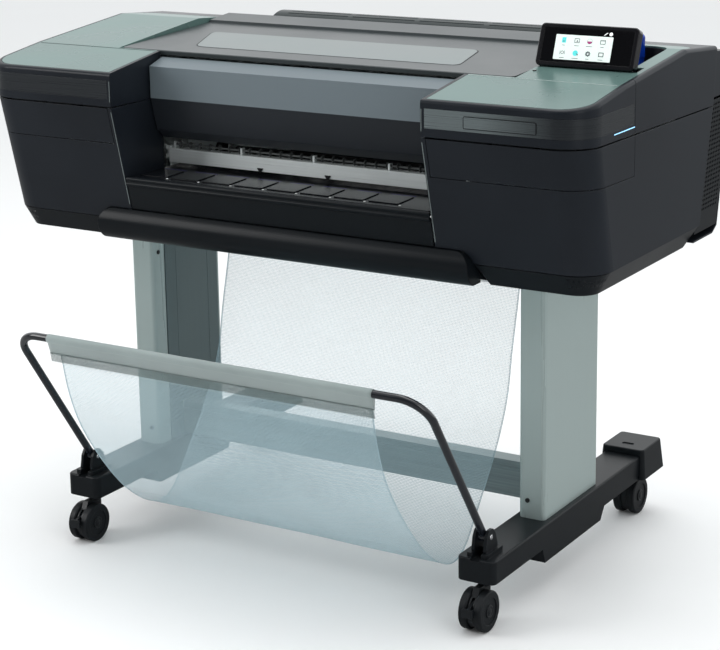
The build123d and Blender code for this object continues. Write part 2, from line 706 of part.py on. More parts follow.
feed_pulley_x = (-372.0, -362.0)
feed_pulley_r = 24.0
with BuildPart() as feed_roller:
    rod(side(-333), *feed_axis, feed_r, 666)
    rod(side(-380), *feed_axis, journal_r, 380 + 352)
    rod(side(feed_pulley_x[0]), *feed_axis, feed_pulley_r, feed_pulley_x[1] - feed_pulley_x[0])
    for x in (feed_pulley_x[0] - 1.5, feed_pulley_x[1]):
        rod(side(x), *feed_axis, feed_pulley_r + 3, 1.5)
feed_roller.part.label = "feed_roller"
export_step(feed_roller.part, "parts/feed_roller.step")

feed_motor_axis = (128.0, 700.0)
feed_motor_pulley_r = 10.0
with BuildPart() as feed_motor_pulley:
    rod(side(-392), *feed_motor_axis, 3, 32)
    rod(side(feed_pulley_x[0]), *feed_motor_axis, feed_motor_pulley_r, feed_pulley_x[1] - feed_pulley_x[0])
    for x in (feed_pulley_x[0] - 1.5, feed_pulley_x[1]):
        rod(side(x), *feed_motor_axis, feed_motor_pulley_r + 3, 1.5)
feed_motor_pulley.part.label = "feed_motor_pulley"
export_step(feed_motor_pulley.part, "parts/feed_motor_pulley.step")


def belt_loop(plane, a, r_a, b, r_b, thick):
    """An open belt round two pulleys: both circles and the band between their outer tangents."""
    dx, dy = b[0] - a[0], b[1] - a[1]
    distance = hypot(dx, dy)
    base = atan2(dy, dx)
    spread = pi / 2 - asin((r_b - r_a) / distance)
    outlines = []
    for extra in (thick, 0.0):
        points = []
        for centre, radius in ((a, r_a + extra), (b, r_b + extra)):
            for sign in (1, -1):
                angle = base + sign * spread
                points.append((centre[0] + radius * cos(angle), centre[1] + radius * sin(angle)))
        with BuildSketch(plane) as outline:
            with Locations(a):
                Circle(r_a + extra)
            with Locations(b):
                Circle(r_b + extra)
            with BuildLine():
                Polyline(points[0], points[1], points[3], points[2], close=True)
            make_face()
        outlines.append(outline.sketch)
    return outlines


belt_gap = 0.3
# ---- carriage on its rods, with the belt that draws it ---------------------------------------------
rod_r = 8.0
rod_points = ((-62.0, 905.0), (34.0, 905.0))
scan_beam_y = (92.0, 112.0)
belt_z = 905.0
pulley_x = 570.0
pulley_r = 12.0
belt_y = (76.0, 84.0)
with BuildPart() as scan_rail:
    slab(level(860), -end_frame_x, end_frame_x, *scan_beam_y, 90)
    slab(level(863), -end_frame_x - 1, end_frame_x + 1, scan_beam_y[0] + 3, scan_beam_y[1] + 1, 84,
         Mode.SUBTRACT)
    for y, z in rod_points:
        rod(side(-end_frame_x), y, z, rod_r, 2 * end_frame_x)
    # idler's pin on the right, clearance hole of the motor's shaft on the left
    rod(front(scan_beam_y[0]), pulley_x, belt_z, 4, 20)
    rod(front(scan_beam_y[0] + 5), -pulley_x, belt_z, 6, 10, Mode.SUBTRACT)
scan_rail.part.label = "scan_rail"
export_step(scan_rail.part, "parts/scan_rail.step")

with BuildPart() as idler_pulley:
    rod(front(belt_y[1] + 1), pulley_x, belt_z, pulley_r, belt_y[1] - belt_y[0] + 2)
    rod(front(belt_y[1] + 2.5), pulley_x, belt_z, pulley_r + 3, 1.5)
    rod(front(belt_y[0] - 1), pulley_x, belt_z, pulley_r + 3, 1.5)
    rod(front(belt_y[1] + 5), pulley_x, belt_z, 4 + running, 30, Mode.SUBTRACT)
idler_pulley.part.label = "idler_pulley"
export_step(idler_pulley.part, "parts/idler_pulley.step")

with BuildPart() as drive_pulley:
    rod(front(belt_y[1] + 1), -pulley_x, belt_z, pulley_r, belt_y[1] - belt_y[0] + 2)
    rod(front(belt_y[1] + 2.5), -pulley_x, belt_z, pulley_r + 3, 1.5)
    rod(front(belt_y[0] - 1), -pulley_x, belt_z, pulley_r + 3, 1.5)
    rod(front(130), -pulley_x, belt_z, 4, 56)
drive_pulley.part.label = "drive_pulley"
export_step(drive_pulley.part, "parts/drive_pulley.step")

with BuildPart() as drive_belts:
    loop = belt_loop(side(feed_pulley_x[0] + 1), feed_axis, feed_pulley_r + belt_gap, feed_motor_axis,
                     feed_motor_pulley_r + belt_gap, 1.4)
    extrude(loop[0], amount=8)
    extrude(loop[1], amount=8, mode=Mode.SUBTRACT)
    loop = belt_loop(front(belt_y[1]), (-pulley_x, belt_z), pulley_r + belt_gap, (pulley_x, belt_z),
                     pulley_r + belt_gap, 1.4)
    extrude(loop[0], amount=belt_y[1] - belt_y[0])
    extrude(loop[1], amount=belt_y[1] - belt_y[0], mode=Mode.SUBTRACT)
drive_belts.part.label = "drive_belts"
export_step(drive_belts.part, "parts/drive_belts.step")

with BuildPart() as motors:
    rod(front(168), -pulley_x, belt_z, 24, 168 - scan_beam_y[1])
    rod(front(170), -pulley_x, belt_z, 4 + running, 60, Mode.SUBTRACT)
    rod(side(-420), *feed_motor_axis, 21, 420 - 375)
    rod(side(-396), *feed_motor_axis, 3 + running, 30, Mode.SUBTRACT)
motors.part.label = "motors"
export_step(motors.part, "parts/motors.step")

carriage_x = (425.0, 592.0)
carriage_y = (-112.0, 68.0)
carriage_z = (800.0, 938.0)
with BuildPart() as carriage:
    slab(level(carriage_z[0]), *carriage_x, *carriage_y, carriage_z[1] - carriage_z[0], corner=6)
    fillet(carriage.edges().group_by(Axis.Z)[-1], 5)
    slab(level(carriage_z[1] - 6), carriage_x[0] + 12, carriage_x[1] - 12, -104, -78, 10, Mode.SUBTRACT)
    for y, z in rod_points:
        rod(side(carriage_x[0] - 5), y, z, rod_r + running, 180, Mode.SUBTRACT)
    # arm that reaches over the belt's lower run
    slab(level(belt_z - pulley_r - belt_gap + 1.5), 485, 530, carriage_y[1] - 2, belt_y[1] + 1, 4)
carriage.part.label = "carriage"
export_step(carriage.part, "parts/carriage.step")

with BuildPart() as printheads:
    with BuildSketch(level(769.5)) as heads:
        with Locations(((carriage_x[0] + carriage_x[1]) / 2, -40)):
            with GridLocations(46, 0, 3, 1):
                RectangleRounded(38, 100, 3)
    extrude(heads.sketch, amount=carriage_z[0] - 769.5)
printheads.part.label = "printheads"
export_step(printheads.part, "parts/printheads.step")

with BuildPart() as cutter:
    slab(level(772), 300, 326, -150, -130, 26, corner=3)
    rod(level(766.5), 313, -140, 6, 6)
cutter.part.label = "cutter"
export_step(cutter.part, "parts/cutter.step")

with BuildPart() as service_station:
    slab(level(690), 432, 590, -100, 30, 72, corner=4)
    for x in (455, 501, 547):
        slab(level(756), x - 8, x + 24, -80, 10, 10, Mode.SUBTRACT)
    slab(level(body_base_z + 4), 440, 582, -90, 20, 55)
service_station.part.label = "service_station"
export_step(service_station.part, "parts/service_station.step")

# ---- ink bays with their cartridges -----------------------------------------------------------------
bay_y = (-300.0, -155.0)
with BuildPart() as ink_bays:
    for _, hand in hands:
        brick(hand, 362, 640, *bay_y, door_base_z + 2, door_base_z + 5)
        brick(hand, 362, 640, bay_y[1] - 3, bay_y[1], door_base_z + 5, 902)
        for near in (362, 453.5, 545, 637):
            brick(hand, near, near + 3, *bay_y, door_base_z + 5, 862)
ink_bays.part.label = "ink_bays"
export_step(ink_bays.part, "parts/ink_bays.step")

with BuildPart() as ink_cartridges:
    for _, hand in hands:
        for near in (366, 457.5, 549):
            brick(hand, near, near + 86, bay_y[0] + 2, bay_y[1] - 5, door_base_z + 5.5, 899, corner=4)
ink_cartridges.part.label = "ink_cartridges"
export_step(ink_cartridges.part, "parts/ink_cartridges.step")

# ---- roll spindle, power unit ------------------------------------------------------------------------
with BuildPart() as roll_spindle:
    rod(side(-345), *roll_axis, spindle_journal_r, 690)
    rod(side(-330), *roll_axis, 14, 660)
    for _, hand in hands:
        x0, x1 = ends(hand, 306, 311)
        rod(side(x0), *roll_axis, 60, x1 - x0)
        x0, x1 = ends(hand, 286, 306)
        rod(side(x0), *roll_axis, 25, x1 - x0)
roll_spindle.part.label = "roll_spindle"
export_step(roll_spindle.part, "parts/roll_spindle.step")

inlet_face_y = rear_at(inlet_z) - 1.0
with BuildPart() as power_unit:
    slab(level(body_base_z + 4), -600, -430, 20, 140, 160, corner=3)
    slab(front(inlet_face_y), inlet_x - 24, inlet_x + 24, inlet_z - 15, inlet_z + 15,
         inlet_face_y - 139, corner=2)
    slab(front(inlet_face_y), inlet_x - 12.5, inlet_x + 12.5, inlet_z - 8.5, inlet_z + 8.5, 17,
         Mode.SUBTRACT, 3.0)
    for dx in (-7, 0, 7):
        slab(front(inlet_face_y - 2), inlet_x + dx - 1, inlet_x + dx + 1, inlet_z - 3 + (3 if dx == 0 else 0),
             inlet_z + 1 + (3 if dx == 0 else 0), 15.5)
power_unit.part.label = "power_unit"
export_step(power_unit.part, "parts/power_unit.step")

# ---- stand: legs, cross brace, feet ------------------------------------------------------------------
leg_half_x = 27.5
leg_y = (-127.0, 110.5)
leg_r = 9.0
leg_wall = 2.5
leg_tubes = []
for _, hand in hands:
    with BuildPart() as leg:
        with BuildSketch(level(foot_top_z)) as leg_plan:
            with Locations((hand * leg_x, (leg_y[0] + leg_y[1]) / 2)):
                RectangleRounded(2 * leg_half_x, leg_y[1] - leg_y[0], leg_r)
                RectangleRounded(2 * leg_half_x - 2 * leg_wall, leg_y[1] - leg_y[0] - 2 * leg_wall,
                                 leg_r - leg_wall, mode=Mode.SUBTRACT)
        extrude(leg_plan.sketch, amount=leg_top_z - foot_top_z)
        # channel in the inner face for the cover panel, with two fine grooves beside it
        x_face = hand * (leg_x - leg_half_x)
        x0, x1 = sorted((x_face, x_face + hand * 1.0))
        slab(level(foot_top_z - 1), min(x0, x0 - 1), max(x1, x1), -88, 100, 492, Mode.SUBTRACT)
    leg_tubes.append(leg.part)

with BuildPart() as legs:
    add(leg_tubes)
legs.part.label = "legs"
export_step(legs.part, "parts/legs.step")

with BuildPart() as leg_panels:
    for _, hand in hands:
        x_face = hand * (leg_x - leg_half_x + 1.0)
        x0, x1 = sorted((x_face, x_face - hand * 2.0))
        slab(level(foot_top_z + 2), x0, x1, -86, 98, leg_top_z - foot_top_z - 4)
        for y in (-50, 62):
            slot_x = x_face - hand * 2.0
            slab(level(foot_top_z), slot_x - 0.6, slot_x + 0.6, y - 0.6, y + 0.6, 500, Mode.SUBTRACT)
        # opening where the cross brace meets the leg
        slab(level(138), x0 - 1, x1 + 1, -42, 2, 80, Mode.SUBTRACT)
leg_panels.part.label = "leg_panels"
export_step(leg_panels.part, "parts/leg_panels.step")

brace_half = leg_x - leg_half_x + 1.0
with BuildPart() as cross_brace:
    prism(side(-brace_half), [(-40, 143), (-40, 200), (-36, 202), (-36, 215), (0, 215), (0, 143), (-2.5, 143),
                              (-2.5, 212.5), (-33.5, 212.5), (-33.5, 200), (-37.5, 198), (-37.5, 143)],
          2 * brace_half)
cross_brace.part.label = "cross_brace"
export_step(cross_brace.part, "parts/cross_brace.step")

foot_half_x = 39.0
foot_front_y = -356.0
foot_rear_y = 380.0
stem_r = 5.5
foot_castings = []
for _, hand in hands:
    x = hand * leg_x
    with BuildPart() as foot:
        with BuildSketch(level(67)) as foot_plan:
            with Locations((x, (foot_front_y + foot_rear_y) / 2)):
                RectangleRounded(2 * foot_half_x, foot_rear_y - foot_front_y, 14)
        extrude(foot_plan.sketch, amount=foot_top_z - 67)
        fillet(foot.edges().group_by(Axis.Z)[-1], 4)
        prism(side(x - 60), [(-400, 60), (-152, 60), (-146, 67), (-156, 97), (-400, 97)], 120, Mode.SUBTRACT)
        prism(side(x - 60), [(112, 60), (500, 60), (500, 92), (122, 92), (104, 67)], 120, Mode.SUBTRACT)
        for y in (-stem_y, rear_stem_y):
            rod(level(80), x, y, stem_r + running, 40, Mode.SUBTRACT)
        # clevis of the bin's frame: two ears on a block
        slab(level(foot_top_z - 2), x - 22, x + 22, -348, -284, 10, corner=5)
        with BuildSketch(side(x - 15)) as ears:
            with BuildLine():
                Polyline((-342, 148), (-292, 148), (-302, 178), (-312, 190), (-328, 190), (-336, 178), close=True)
            make_face()
            fillet(ears.vertices().group_by(Axis.Z)[-1], 6)
        extrude(ears.sketch, amount=30)
        slab(level(150), x - 9.2, x + 9.2, -360, -280, 60, Mode.SUBTRACT)
        slab(level(138), x - 9.2, x + 9.2, -360, -312, 30, Mode.SUBTRACT)
        rod(side(x - 17), *bin_pivot, 4, 34)
    foot_castings.append(foot.part)

with BuildPart() as feet:
    add(foot_castings)
feet.part.label = "feet"
export_step(feet.part, "parts/feet.step")

with BuildPart() as foot_caps:
    for _, hand in hands:
        x = hand * leg_x
        with BuildSketch(level(92)) as cap_low:
            with Locations((x, 345)):
                RectangleRounded(102, 110, 9)
        with BuildSketch(level(155)) as cap_high:
            with Locations((x, 343)):
                RectangleRounded(92, 98, 9)
        loft([cap_low.sketch.faces()[0], cap_high.sketch.faces()[0]])
    fillet(foot_caps.edges().group_by(Axis.Z)[-1], 3)
    for _, hand in hands:
        x = hand * leg_x
        slab(level(85), x - foot_half_x - 0.5, x + foot_half_x + 0.5, 250, foot_rear_y + 0.5, foot_top_z - 84.5,
             Mode.SUBTRACT)
        slab(level(153), x - 13, x + 13, 318, 330, 10, Mode.SUBTRACT, 5)
foot_caps.part.label = "foot_caps"
export_step(foot_caps.part, "parts/foot_caps.step")

with BuildPart() as screws:
    for _, hand in hands:
        x = hand * (leg_x - 8)
        # front face of each leg, near the top and the foot
        for z in (600, 178):
            rod(front(leg_y[0]), x, z, 4.5, 2.2)
        # inner face
        x0 = hand * (leg_x - leg_half_x)
        plane = side(x0 - 1.6) if hand > 0 else side(x0)
        for z in (560, 590):
            rod(plane, -108, z, 4.5, 1.6)
screws.part.label = "screws"
export_step(screws.part, "parts/screws.step")

# ---- casters -------------------------------------------------------------------------------------------
hood_half = 6.5
wheel_w = 16.0
axle_r = 4.0
caster_places = (
    ("front_left", -leg_x, -stem_y, -caster_y, 97.0),
    ("front_right", leg_x, -stem_y, -caster_y, 97.0),
    ("rear_left", -leg_x, rear_stem_y, caster_y, 92.0),
    ("rear_right", leg_x, rear_stem_y, caster_y, 92.0),
)
lever_pin = (-17.0, 57.0)
for name, x, y_stem, y_wheel, base_z in caster_places:
    with BuildPart() as caster_hood:
        with BuildSketch(side(x - hood_half)) as hood_side:
            with Locations((y_wheel, wheel_r)):
                Circle(wheel_r - 5)
            with BuildLine():
                Polyline((y_wheel - 20, 60), (y_wheel - 8, 84), (y_stem + 12, 84), (y_stem + 12, 45),
                         (y_wheel, 30), close=True)
            make_face()
        extrude(hood_side.sketch, amount=2 * hood_half)
        rod(level(80), x, y_stem, 12, base_z - 80 - 0.5)
        rod(level(80), x, y_stem, stem_r, 118 - 80)
        rod(side(x - 20), y_wheel, wheel_r, axle_r + running, 40, Mode.SUBTRACT)
        if y_wheel < 0:
            # slot and pin of the brake lever
            slab(level(40), x - 3.2, x + 3.2, y_wheel - 40, y_wheel - 9.5, 28, Mode.SUBTRACT)
            rod(side(x - 5), y_wheel + lever_pin[0], lever_pin[1], 1.8, 10)
    caster_hood.part.label = f"{name}_caster"
    export_step(caster_hood.part, f"parts/{name}_caster.step")

    with BuildPart() as wheels:
        rod(side(x - hood_half - 1 - wheel_w), y_wheel, wheel_r, axle_r, 2 * (hood_half + 1 + wheel_w))
        for start in (x - hood_half - 1 - wheel_w, x + hood_half + 1):
            rod(side(start), y_wheel, wheel_r, wheel_r, wheel_w)
        rims = wheels.edges().filter_by(GeomType.CIRCLE)
        fillet(rims.filter_by(lambda e: abs(e.radius - wheel_r) < 0.1), 3.5)
        # shallow dish in each outer face
        for start, out in ((x - hood_half - 1 - wheel_w, 2.0), (x + hood_half + 1 + wheel_w, -2.0)):
            rod(side(start), y_wheel, wheel_r, 26, out, Mode.SUBTRACT)
            rod(side(start), y_wheel, wheel_r, 8, out)
    wheels.part.label = f"{name}_wheels"
    export_step(wheels.part, f"parts/{name}_wheels.step")

    if y_wheel < 0:
        with BuildPart() as brake_lever:
            pin_y = y_wheel + lever_pin[0]
            rod(side(x - 2.8), pin_y, lever_pin[1], 5, 5.6)
            prism(side(x - 2.8), [(pin_y - 2, lever_pin[1] + 4), (y_wheel - 43, 54), (y_wheel - 43, 44),
                                  (pin_y - 2, lever_pin[1] - 4)], 5.6)
            slab(front(y_wheel - 41), x - 11, x + 11, 38, 55, 5, corner=2)
            rod(side(x - 4), pin_y, lever_pin[1], 1.8 + running, 8, Mode.SUBTRACT)
        brake_lever.part.label = f"{name}_brake_lever"
        export_step(brake_lever.part, f"parts/{name}_brake_lever.step")

# ---- bin: hinged tube frame and the cloth sling -----------------------------------------------------------
arm_dy = bin_bar[0] - bin_pivot[0]
arm_dz = bin_bar[1] - bin_pivot[1]
arm_length = hypot(arm_dy, arm_dz)
bend_r = 55.0
bin_plane = Plane(origin=(0, mid_y + bin_pivot[0], bin_pivot[1]), x_dir=(1, 0, 0),
                  z_dir=(0, -arm_dz / arm_length, arm_dy / arm_length))
with BuildPart() as bin_frame:
    with BuildLine(bin_plane) as bin_path:
        FilletPolyline((-leg_x, 6), (-leg_x, arm_length), (leg_x, arm_length), (leg_x, 6), radius=bend_r)
    with BuildSketch(Plane(origin=bin_path.line @ 0, z_dir=bin_path.line % 0)) as tube:
        Circle(tube_r)
    sweep(tube.sketch, path=bin_path.line)
    for hand in (-1, 1):
        rod(side(hand * leg_x - 8), *bin_pivot, 10, 16)
        rod(side(hand * leg_x - 12), *bin_pivot, 4 + running, 24, Mode.SUBTRACT)
bin_frame.part.label = "bin_frame"
export_step(bin_frame.part, "parts/bin_frame.step")

sling_half = 346.0
sling_t = 3.0
sling_points = [(-528, 462), (-510, 380), (-478, 302), (-420, 215), (-355, 140), (-290, 90), (-236, 72),
                (-190, 90), (-130, 160), (-62, 250), (-18, 335), (4, 430), (30, 530), (44, 600), (50, 631.5)]
with BuildPart() as bin_sling:
    with BuildSketch(side(-sling_half)) as sling_side:
        with BuildLine() as sling_line:
            Polyline(*sling_points)
        trace(sling_line.line, line_width=sling_t)
    extrude(sling_side.sketch, amount=2 * sling_half)
bin_sling.part.label = "bin_sling"
export_step(bin_sling.part, "parts/bin_sling.step")
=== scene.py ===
import math

import bmesh
import bpy
from mathutils import Matrix, Vector
from mathutils.noise import noise


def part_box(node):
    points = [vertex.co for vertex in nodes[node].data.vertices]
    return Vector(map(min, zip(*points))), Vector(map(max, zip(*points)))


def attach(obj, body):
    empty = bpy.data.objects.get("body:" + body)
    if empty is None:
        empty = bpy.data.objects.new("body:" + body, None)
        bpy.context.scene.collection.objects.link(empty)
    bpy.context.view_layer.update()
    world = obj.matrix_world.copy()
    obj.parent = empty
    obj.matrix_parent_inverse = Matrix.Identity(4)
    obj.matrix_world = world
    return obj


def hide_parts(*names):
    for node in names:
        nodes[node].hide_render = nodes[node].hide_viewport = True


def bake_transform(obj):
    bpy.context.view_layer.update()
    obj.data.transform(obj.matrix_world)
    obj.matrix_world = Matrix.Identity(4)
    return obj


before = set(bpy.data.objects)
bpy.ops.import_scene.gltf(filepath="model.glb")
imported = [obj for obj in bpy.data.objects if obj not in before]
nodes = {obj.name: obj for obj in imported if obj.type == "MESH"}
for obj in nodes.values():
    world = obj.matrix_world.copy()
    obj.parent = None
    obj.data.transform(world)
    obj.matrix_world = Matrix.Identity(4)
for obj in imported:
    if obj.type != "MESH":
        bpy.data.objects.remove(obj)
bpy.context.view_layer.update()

scene = bpy.context.scene
mm = 0.001
midY = 69.75  # the caster midline lies this far behind the origin, in mm


def spot(x, y, z):  # a point given in mm from the caster midline
    return Vector((x, y + midY, z)) * mm


# casting onto the frame, so that every detail sits on the surface it belongs to
def hit(node, start, direction):
    found, point, normal, _ = nodes[node].ray_cast(start, Vector(direction))
    if not found:
        raise RuntimeError(f"nothing of {node} lies under {tuple(start)}")
    return point, normal


def onTop(node, x, y):
    return hit(node, spot(x, y, 1500), (0, 0, -1))


def onFront(node, x, z):
    return hit(node, spot(x, -900, z), (0, 1, 0))


def lying(flat, z):  # an outline of (x, y) pairs in mm laid level at a height
    return [Vector((x * mm, (y + midY) * mm, z)) for x, y in flat]


def standing(flat, y):  # an outline of (x, z) pairs in mm stood up facing the front
    return [Vector((x * mm, y, z * mm)) for x, z in flat]


# shader building
def place(tree, kind, feeds=None, **settings):
    node = tree.nodes.new(kind)
    for key, value in settings.items():
        setattr(node, key, value)
    for key, value in (feeds or {}).items():
        if isinstance(value, bpy.types.NodeSocket):
            tree.links.new(value, node.inputs[key])
        else:
            node.inputs[key].default_value = value
    return node


def startGroup(name, inputs, outputs):
    tree = bpy.data.node_groups.new(name, "ShaderNodeTree")
    for socket, value in inputs.items():
        kind = "NodeSocketVector" if isinstance(value, tuple) else "NodeSocketFloat"
        made = tree.interface.new_socket(name=socket, in_out="INPUT", socket_type=kind)
        made.default_value = value
    for socket, kind in outputs.items():
        tree.interface.new_socket(name=socket, in_out="OUTPUT", socket_type="NodeSocket" + kind)
    return tree, tree.nodes.new("NodeGroupInput").outputs, tree.nodes.new("NodeGroupOutput")


def maths(tree, operation, a, b=0.0, clamp=False):
    return place(tree, "ShaderNodeMath", {0: a, 1: b}, operation=operation, use_clamp=clamp).outputs[0]


def spread(tree, value, low, high, toLow=0.0, toHigh=1.0):
    feeds = {"Value": value, "From Min": low, "From Max": high, "To Min": toLow, "To Max": toHigh}
    return place(tree, "ShaderNodeMapRange", feeds).outputs[0]


def objectPlace(tree, stretch=(1.0, 1.0, 1.0)):
    where = place(tree, "ShaderNodeTexCoord").outputs["Object"]
    return place(tree, "ShaderNodeVectorMath", {0: where, 1: stretch}, operation="MULTIPLY").outputs[0]


def cloudAt(tree, where, scale, detail):
    return place(tree, "ShaderNodeTexNoise", {"Vector": where, "Scale": scale, "Detail": detail}).outputs[0]


def buildMouldGrain():  # the spark-eroded grain of moulded plastic
    tree, given, end = startGroup("mouldGrain", {"Scale": 1400.0}, {"Height": "Float", "Tone": "Float"})
    where = objectPlace(tree)
    fine = cloudAt(tree, where, given["Scale"], 2.0)
    cells = place(tree, "ShaderNodeTexVoronoi", {"Vector": where, "Scale": given["Scale"]},
                  feature="SMOOTH_F1").outputs["Distance"]
    height = maths(tree, "ADD", maths(tree, "MULTIPLY", fine, 0.6), maths(tree, "MULTIPLY", cells, 0.5))
    cloud = cloudAt(tree, where, 5.0, 4.0)
    tree.links.new(height, end.inputs["Height"])
    tree.links.new(spread(tree, cloud, 0.3, 0.7), end.inputs["Tone"])
    return tree


def buildSoftEdge():  # rounds hard edges for the light and finds them for wear
    tree, given, end = startGroup("softEdge", {"Radius": 0.0012}, {"Normal": "Vector", "Edge": "Float"})
    rounded = place(tree, "ShaderNodeBevel", {"Radius": given["Radius"]}, samples=4).outputs[0]
    flat = place(tree, "ShaderNodeNewGeometry").outputs["Normal"]
    same = place(tree, "ShaderNodeVectorMath", {0: rounded, 1: flat}, operation="DOT_PRODUCT")
    tree.links.new(rounded, end.inputs["Normal"])
    tree.links.new(spread(tree, same.outputs["Value"], 0.995, 0.86), end.inputs["Edge"])
    return tree


def buildEdgeWear():  # a broken mask along the edges, where hands and cloths rub
    tree, given, end = startGroup("edgeWear", {"Edge": 0.0, "Amount": 0.5}, {"Mask": "Float"})
    broken = spread(tree, cloudAt(tree, objectPlace(tree), 34.0, 5.0), 0.42, 0.66)
    rubbed = maths(tree, "MULTIPLY", given["Edge"], broken)
    tree.links.new(maths(tree, "MULTIPLY", rubbed, given["Amount"], True), end.inputs["Mask"])
    return tree


def buildSettledDust():  # a thin film on what faces up
    tree, given, end = startGroup("settledDust", {"Amount": 0.1}, {"Mask": "Float"})
    up = place(tree, "ShaderNodeSeparateXYZ",
               {0: place(tree, "ShaderNodeNewGeometry").outputs["Normal"]}).outputs["Z"]
    patch = cloudAt(tree, objectPlace(tree), 11.0, 6.0)
    film = maths(tree, "MULTIPLY", spread(tree, up, 0.55, 1.0), spread(tree, patch, 0.25, 0.75))
    tree.links.new(maths(tree, "MULTIPLY", film, given["Amount"], True), end.inputs["Mask"])
    return tree


def buildBrushLines():  # the drawn lines of brushed or extruded metal
    tree, given, end = startGroup("brushLines", {"Stretch": (6.0, 900.0, 900.0)},
                                  {"Height": "Float", "Tone": "Float"})
    where = place(tree, "ShaderNodeTexCoord").outputs["Object"]
    drawn = place(tree, "ShaderNodeVectorMath", {0: where, 1: given["Stretch"]}, operation="MULTIPLY")
    line = cloudAt(tree, drawn.outputs[0], 1.0, 4.0)
    tree.links.new(line, end.inputs["Height"])
    tree.links.new(spread(tree, line, 0.3, 0.7), end.inputs["Tone"])
    return tree


def buildNetWeave():  # warp and weft of the open bin cloth, on its own flat measure in metres
    tree, given, end = startGroup("netWeave", {"Pitch": 0.003, "Open": 0.5},
                                  {"Cover": "Float", "Height": "Float", "Tone": "Float"})
    where = place(tree, "ShaderNodeTexCoord").outputs["UV"]
    flat = place(tree, "ShaderNodeSeparateXYZ", {0: where})
    threads = []
    for axis in ("X", "Y"):
        turns = maths(tree, "MULTIPLY", maths(tree, "DIVIDE", flat.outputs[axis], given["Pitch"]), math.tau)
        threads.append(spread(tree, maths(tree, "SINE", turns), -1.0, 1.0))
    height = maths(tree, "MAXIMUM", threads[0], threads[1])
    cloud = cloudAt(tree, where, 7.0, 4.0)
    low = maths(tree, "SUBTRACT", given["Open"], 0.3)
    tree.links.new(spread(tree, height, low, 1.0), end.inputs["Cover"])
    tree.links.new(height, end.inputs["Height"])
    tree.links.new(spread(tree, cloud, 0.3, 0.7), end.inputs["Tone"])
    return tree


builders = (buildMouldGrain, buildSoftEdge, buildEdgeWear, buildSettledDust, buildBrushLines, buildNetWeave)
groups = {tree.name: tree for tree in [build() for build in builders]}
print("shared shader groups ready")


def use(tree, group, **feeds):
    return place(tree, "ShaderNodeGroup", feeds, node_tree=groups[group]).outputs


def blendColour(tree, share, a, b):
    mix = tree.nodes.new("ShaderNodeMix")
    mix.data_type = "RGBA"
    for index, value in ((0, share), (6, a), (7, b)):
        if isinstance(value, bpy.types.NodeSocket):
            tree.links.new(value, mix.inputs[index])
        else:
            mix.inputs[index].default_value = value
    return mix.outputs[2]


def rgba(colour):
    return (*colour, 1.0)


def scaled(colour, factor):
    return tuple(min(1.0, c * factor) for c in colour)


def startMaterial(name):
    material = bpy.data.materials.new(name)
    material.use_nodes = True
    tree = material.node_tree
    return material, tree, tree.nodes["Principled BSDF"]


def weathered(tree, shader, base, soft, relief, look):  # edge wear, dust, gloss and relief over a base colour
    rubbed = use(tree, "edgeWear", Edge=soft["Edge"], Amount=look["wear"])["Mask"]
    base = blendColour(tree, rubbed, base, rgba(look["rubbed"]))
    film = use(tree, "settledDust", Amount=look["dust"])["Mask"]
    base = blendColour(tree, film, base, rgba(look["film"]))
    tree.links.new(base, shader.inputs["Base Color"])
    gloss = maths(tree, "ADD", spread(tree, relief["Tone"], 0, 1, *look["gloss"]),
                  maths(tree, "MULTIPLY", film, look["matt"]), True)
    tree.links.new(gloss, shader.inputs["Roughness"])
    bump = place(tree, "ShaderNodeBump", {"Height": relief["Height"], "Distance": look["depth"],
                                          "Strength": look["strength"], "Normal": soft["Normal"]})
    tree.links.new(bump.outputs[0], shader.inputs["Normal"])


def toned(tree, relief, colour, tone):
    return blendColour(tree, relief["Tone"], rgba(scaled(colour, 1 - tone)), rgba(scaled(colour, 1 + tone)))


def mouldedPlastic(name, colour, roughness=0.5, grain=1400.0, depth=0.00006, edge=0.0012, wear=0.25,
                   dust=0.06, tone=0.12, coat=0.0, shine=0.3, split=None):
    material, tree, shader = startMaterial(name)
    soft = use(tree, "softEdge", Radius=edge)
    mould = use(tree, "mouldGrain", Scale=grain)
    base = toned(tree, mould, colour, tone)
    if split:  # painted reflection: the moulding lighter above a height
        high = place(tree, "ShaderNodeSeparateXYZ", {0: objectPlace(tree)}).outputs["Z"]
        upperSheenShare = spread(tree, high, split["height"] - 0.0004, split["height"] + 0.0004)
        base = blendColour(tree, upperSheenShare, base, rgba(split["colour"]))
    weathered(tree, shader, base, soft, mould,
              {"wear": wear, "rubbed": scaled([c + 0.02 for c in colour], 1.9), "dust": dust,
               "film": (0.20, 0.21, 0.21), "gloss": (roughness - 0.03, roughness + 0.04), "matt": 0.5,
               "depth": depth, "strength": 0.6})
    shader.inputs["Coat Weight"].default_value = coat
    shader.inputs["Coat Roughness"].default_value = 0.08
    shader.inputs["Specular IOR Level"].default_value = shine
    return material


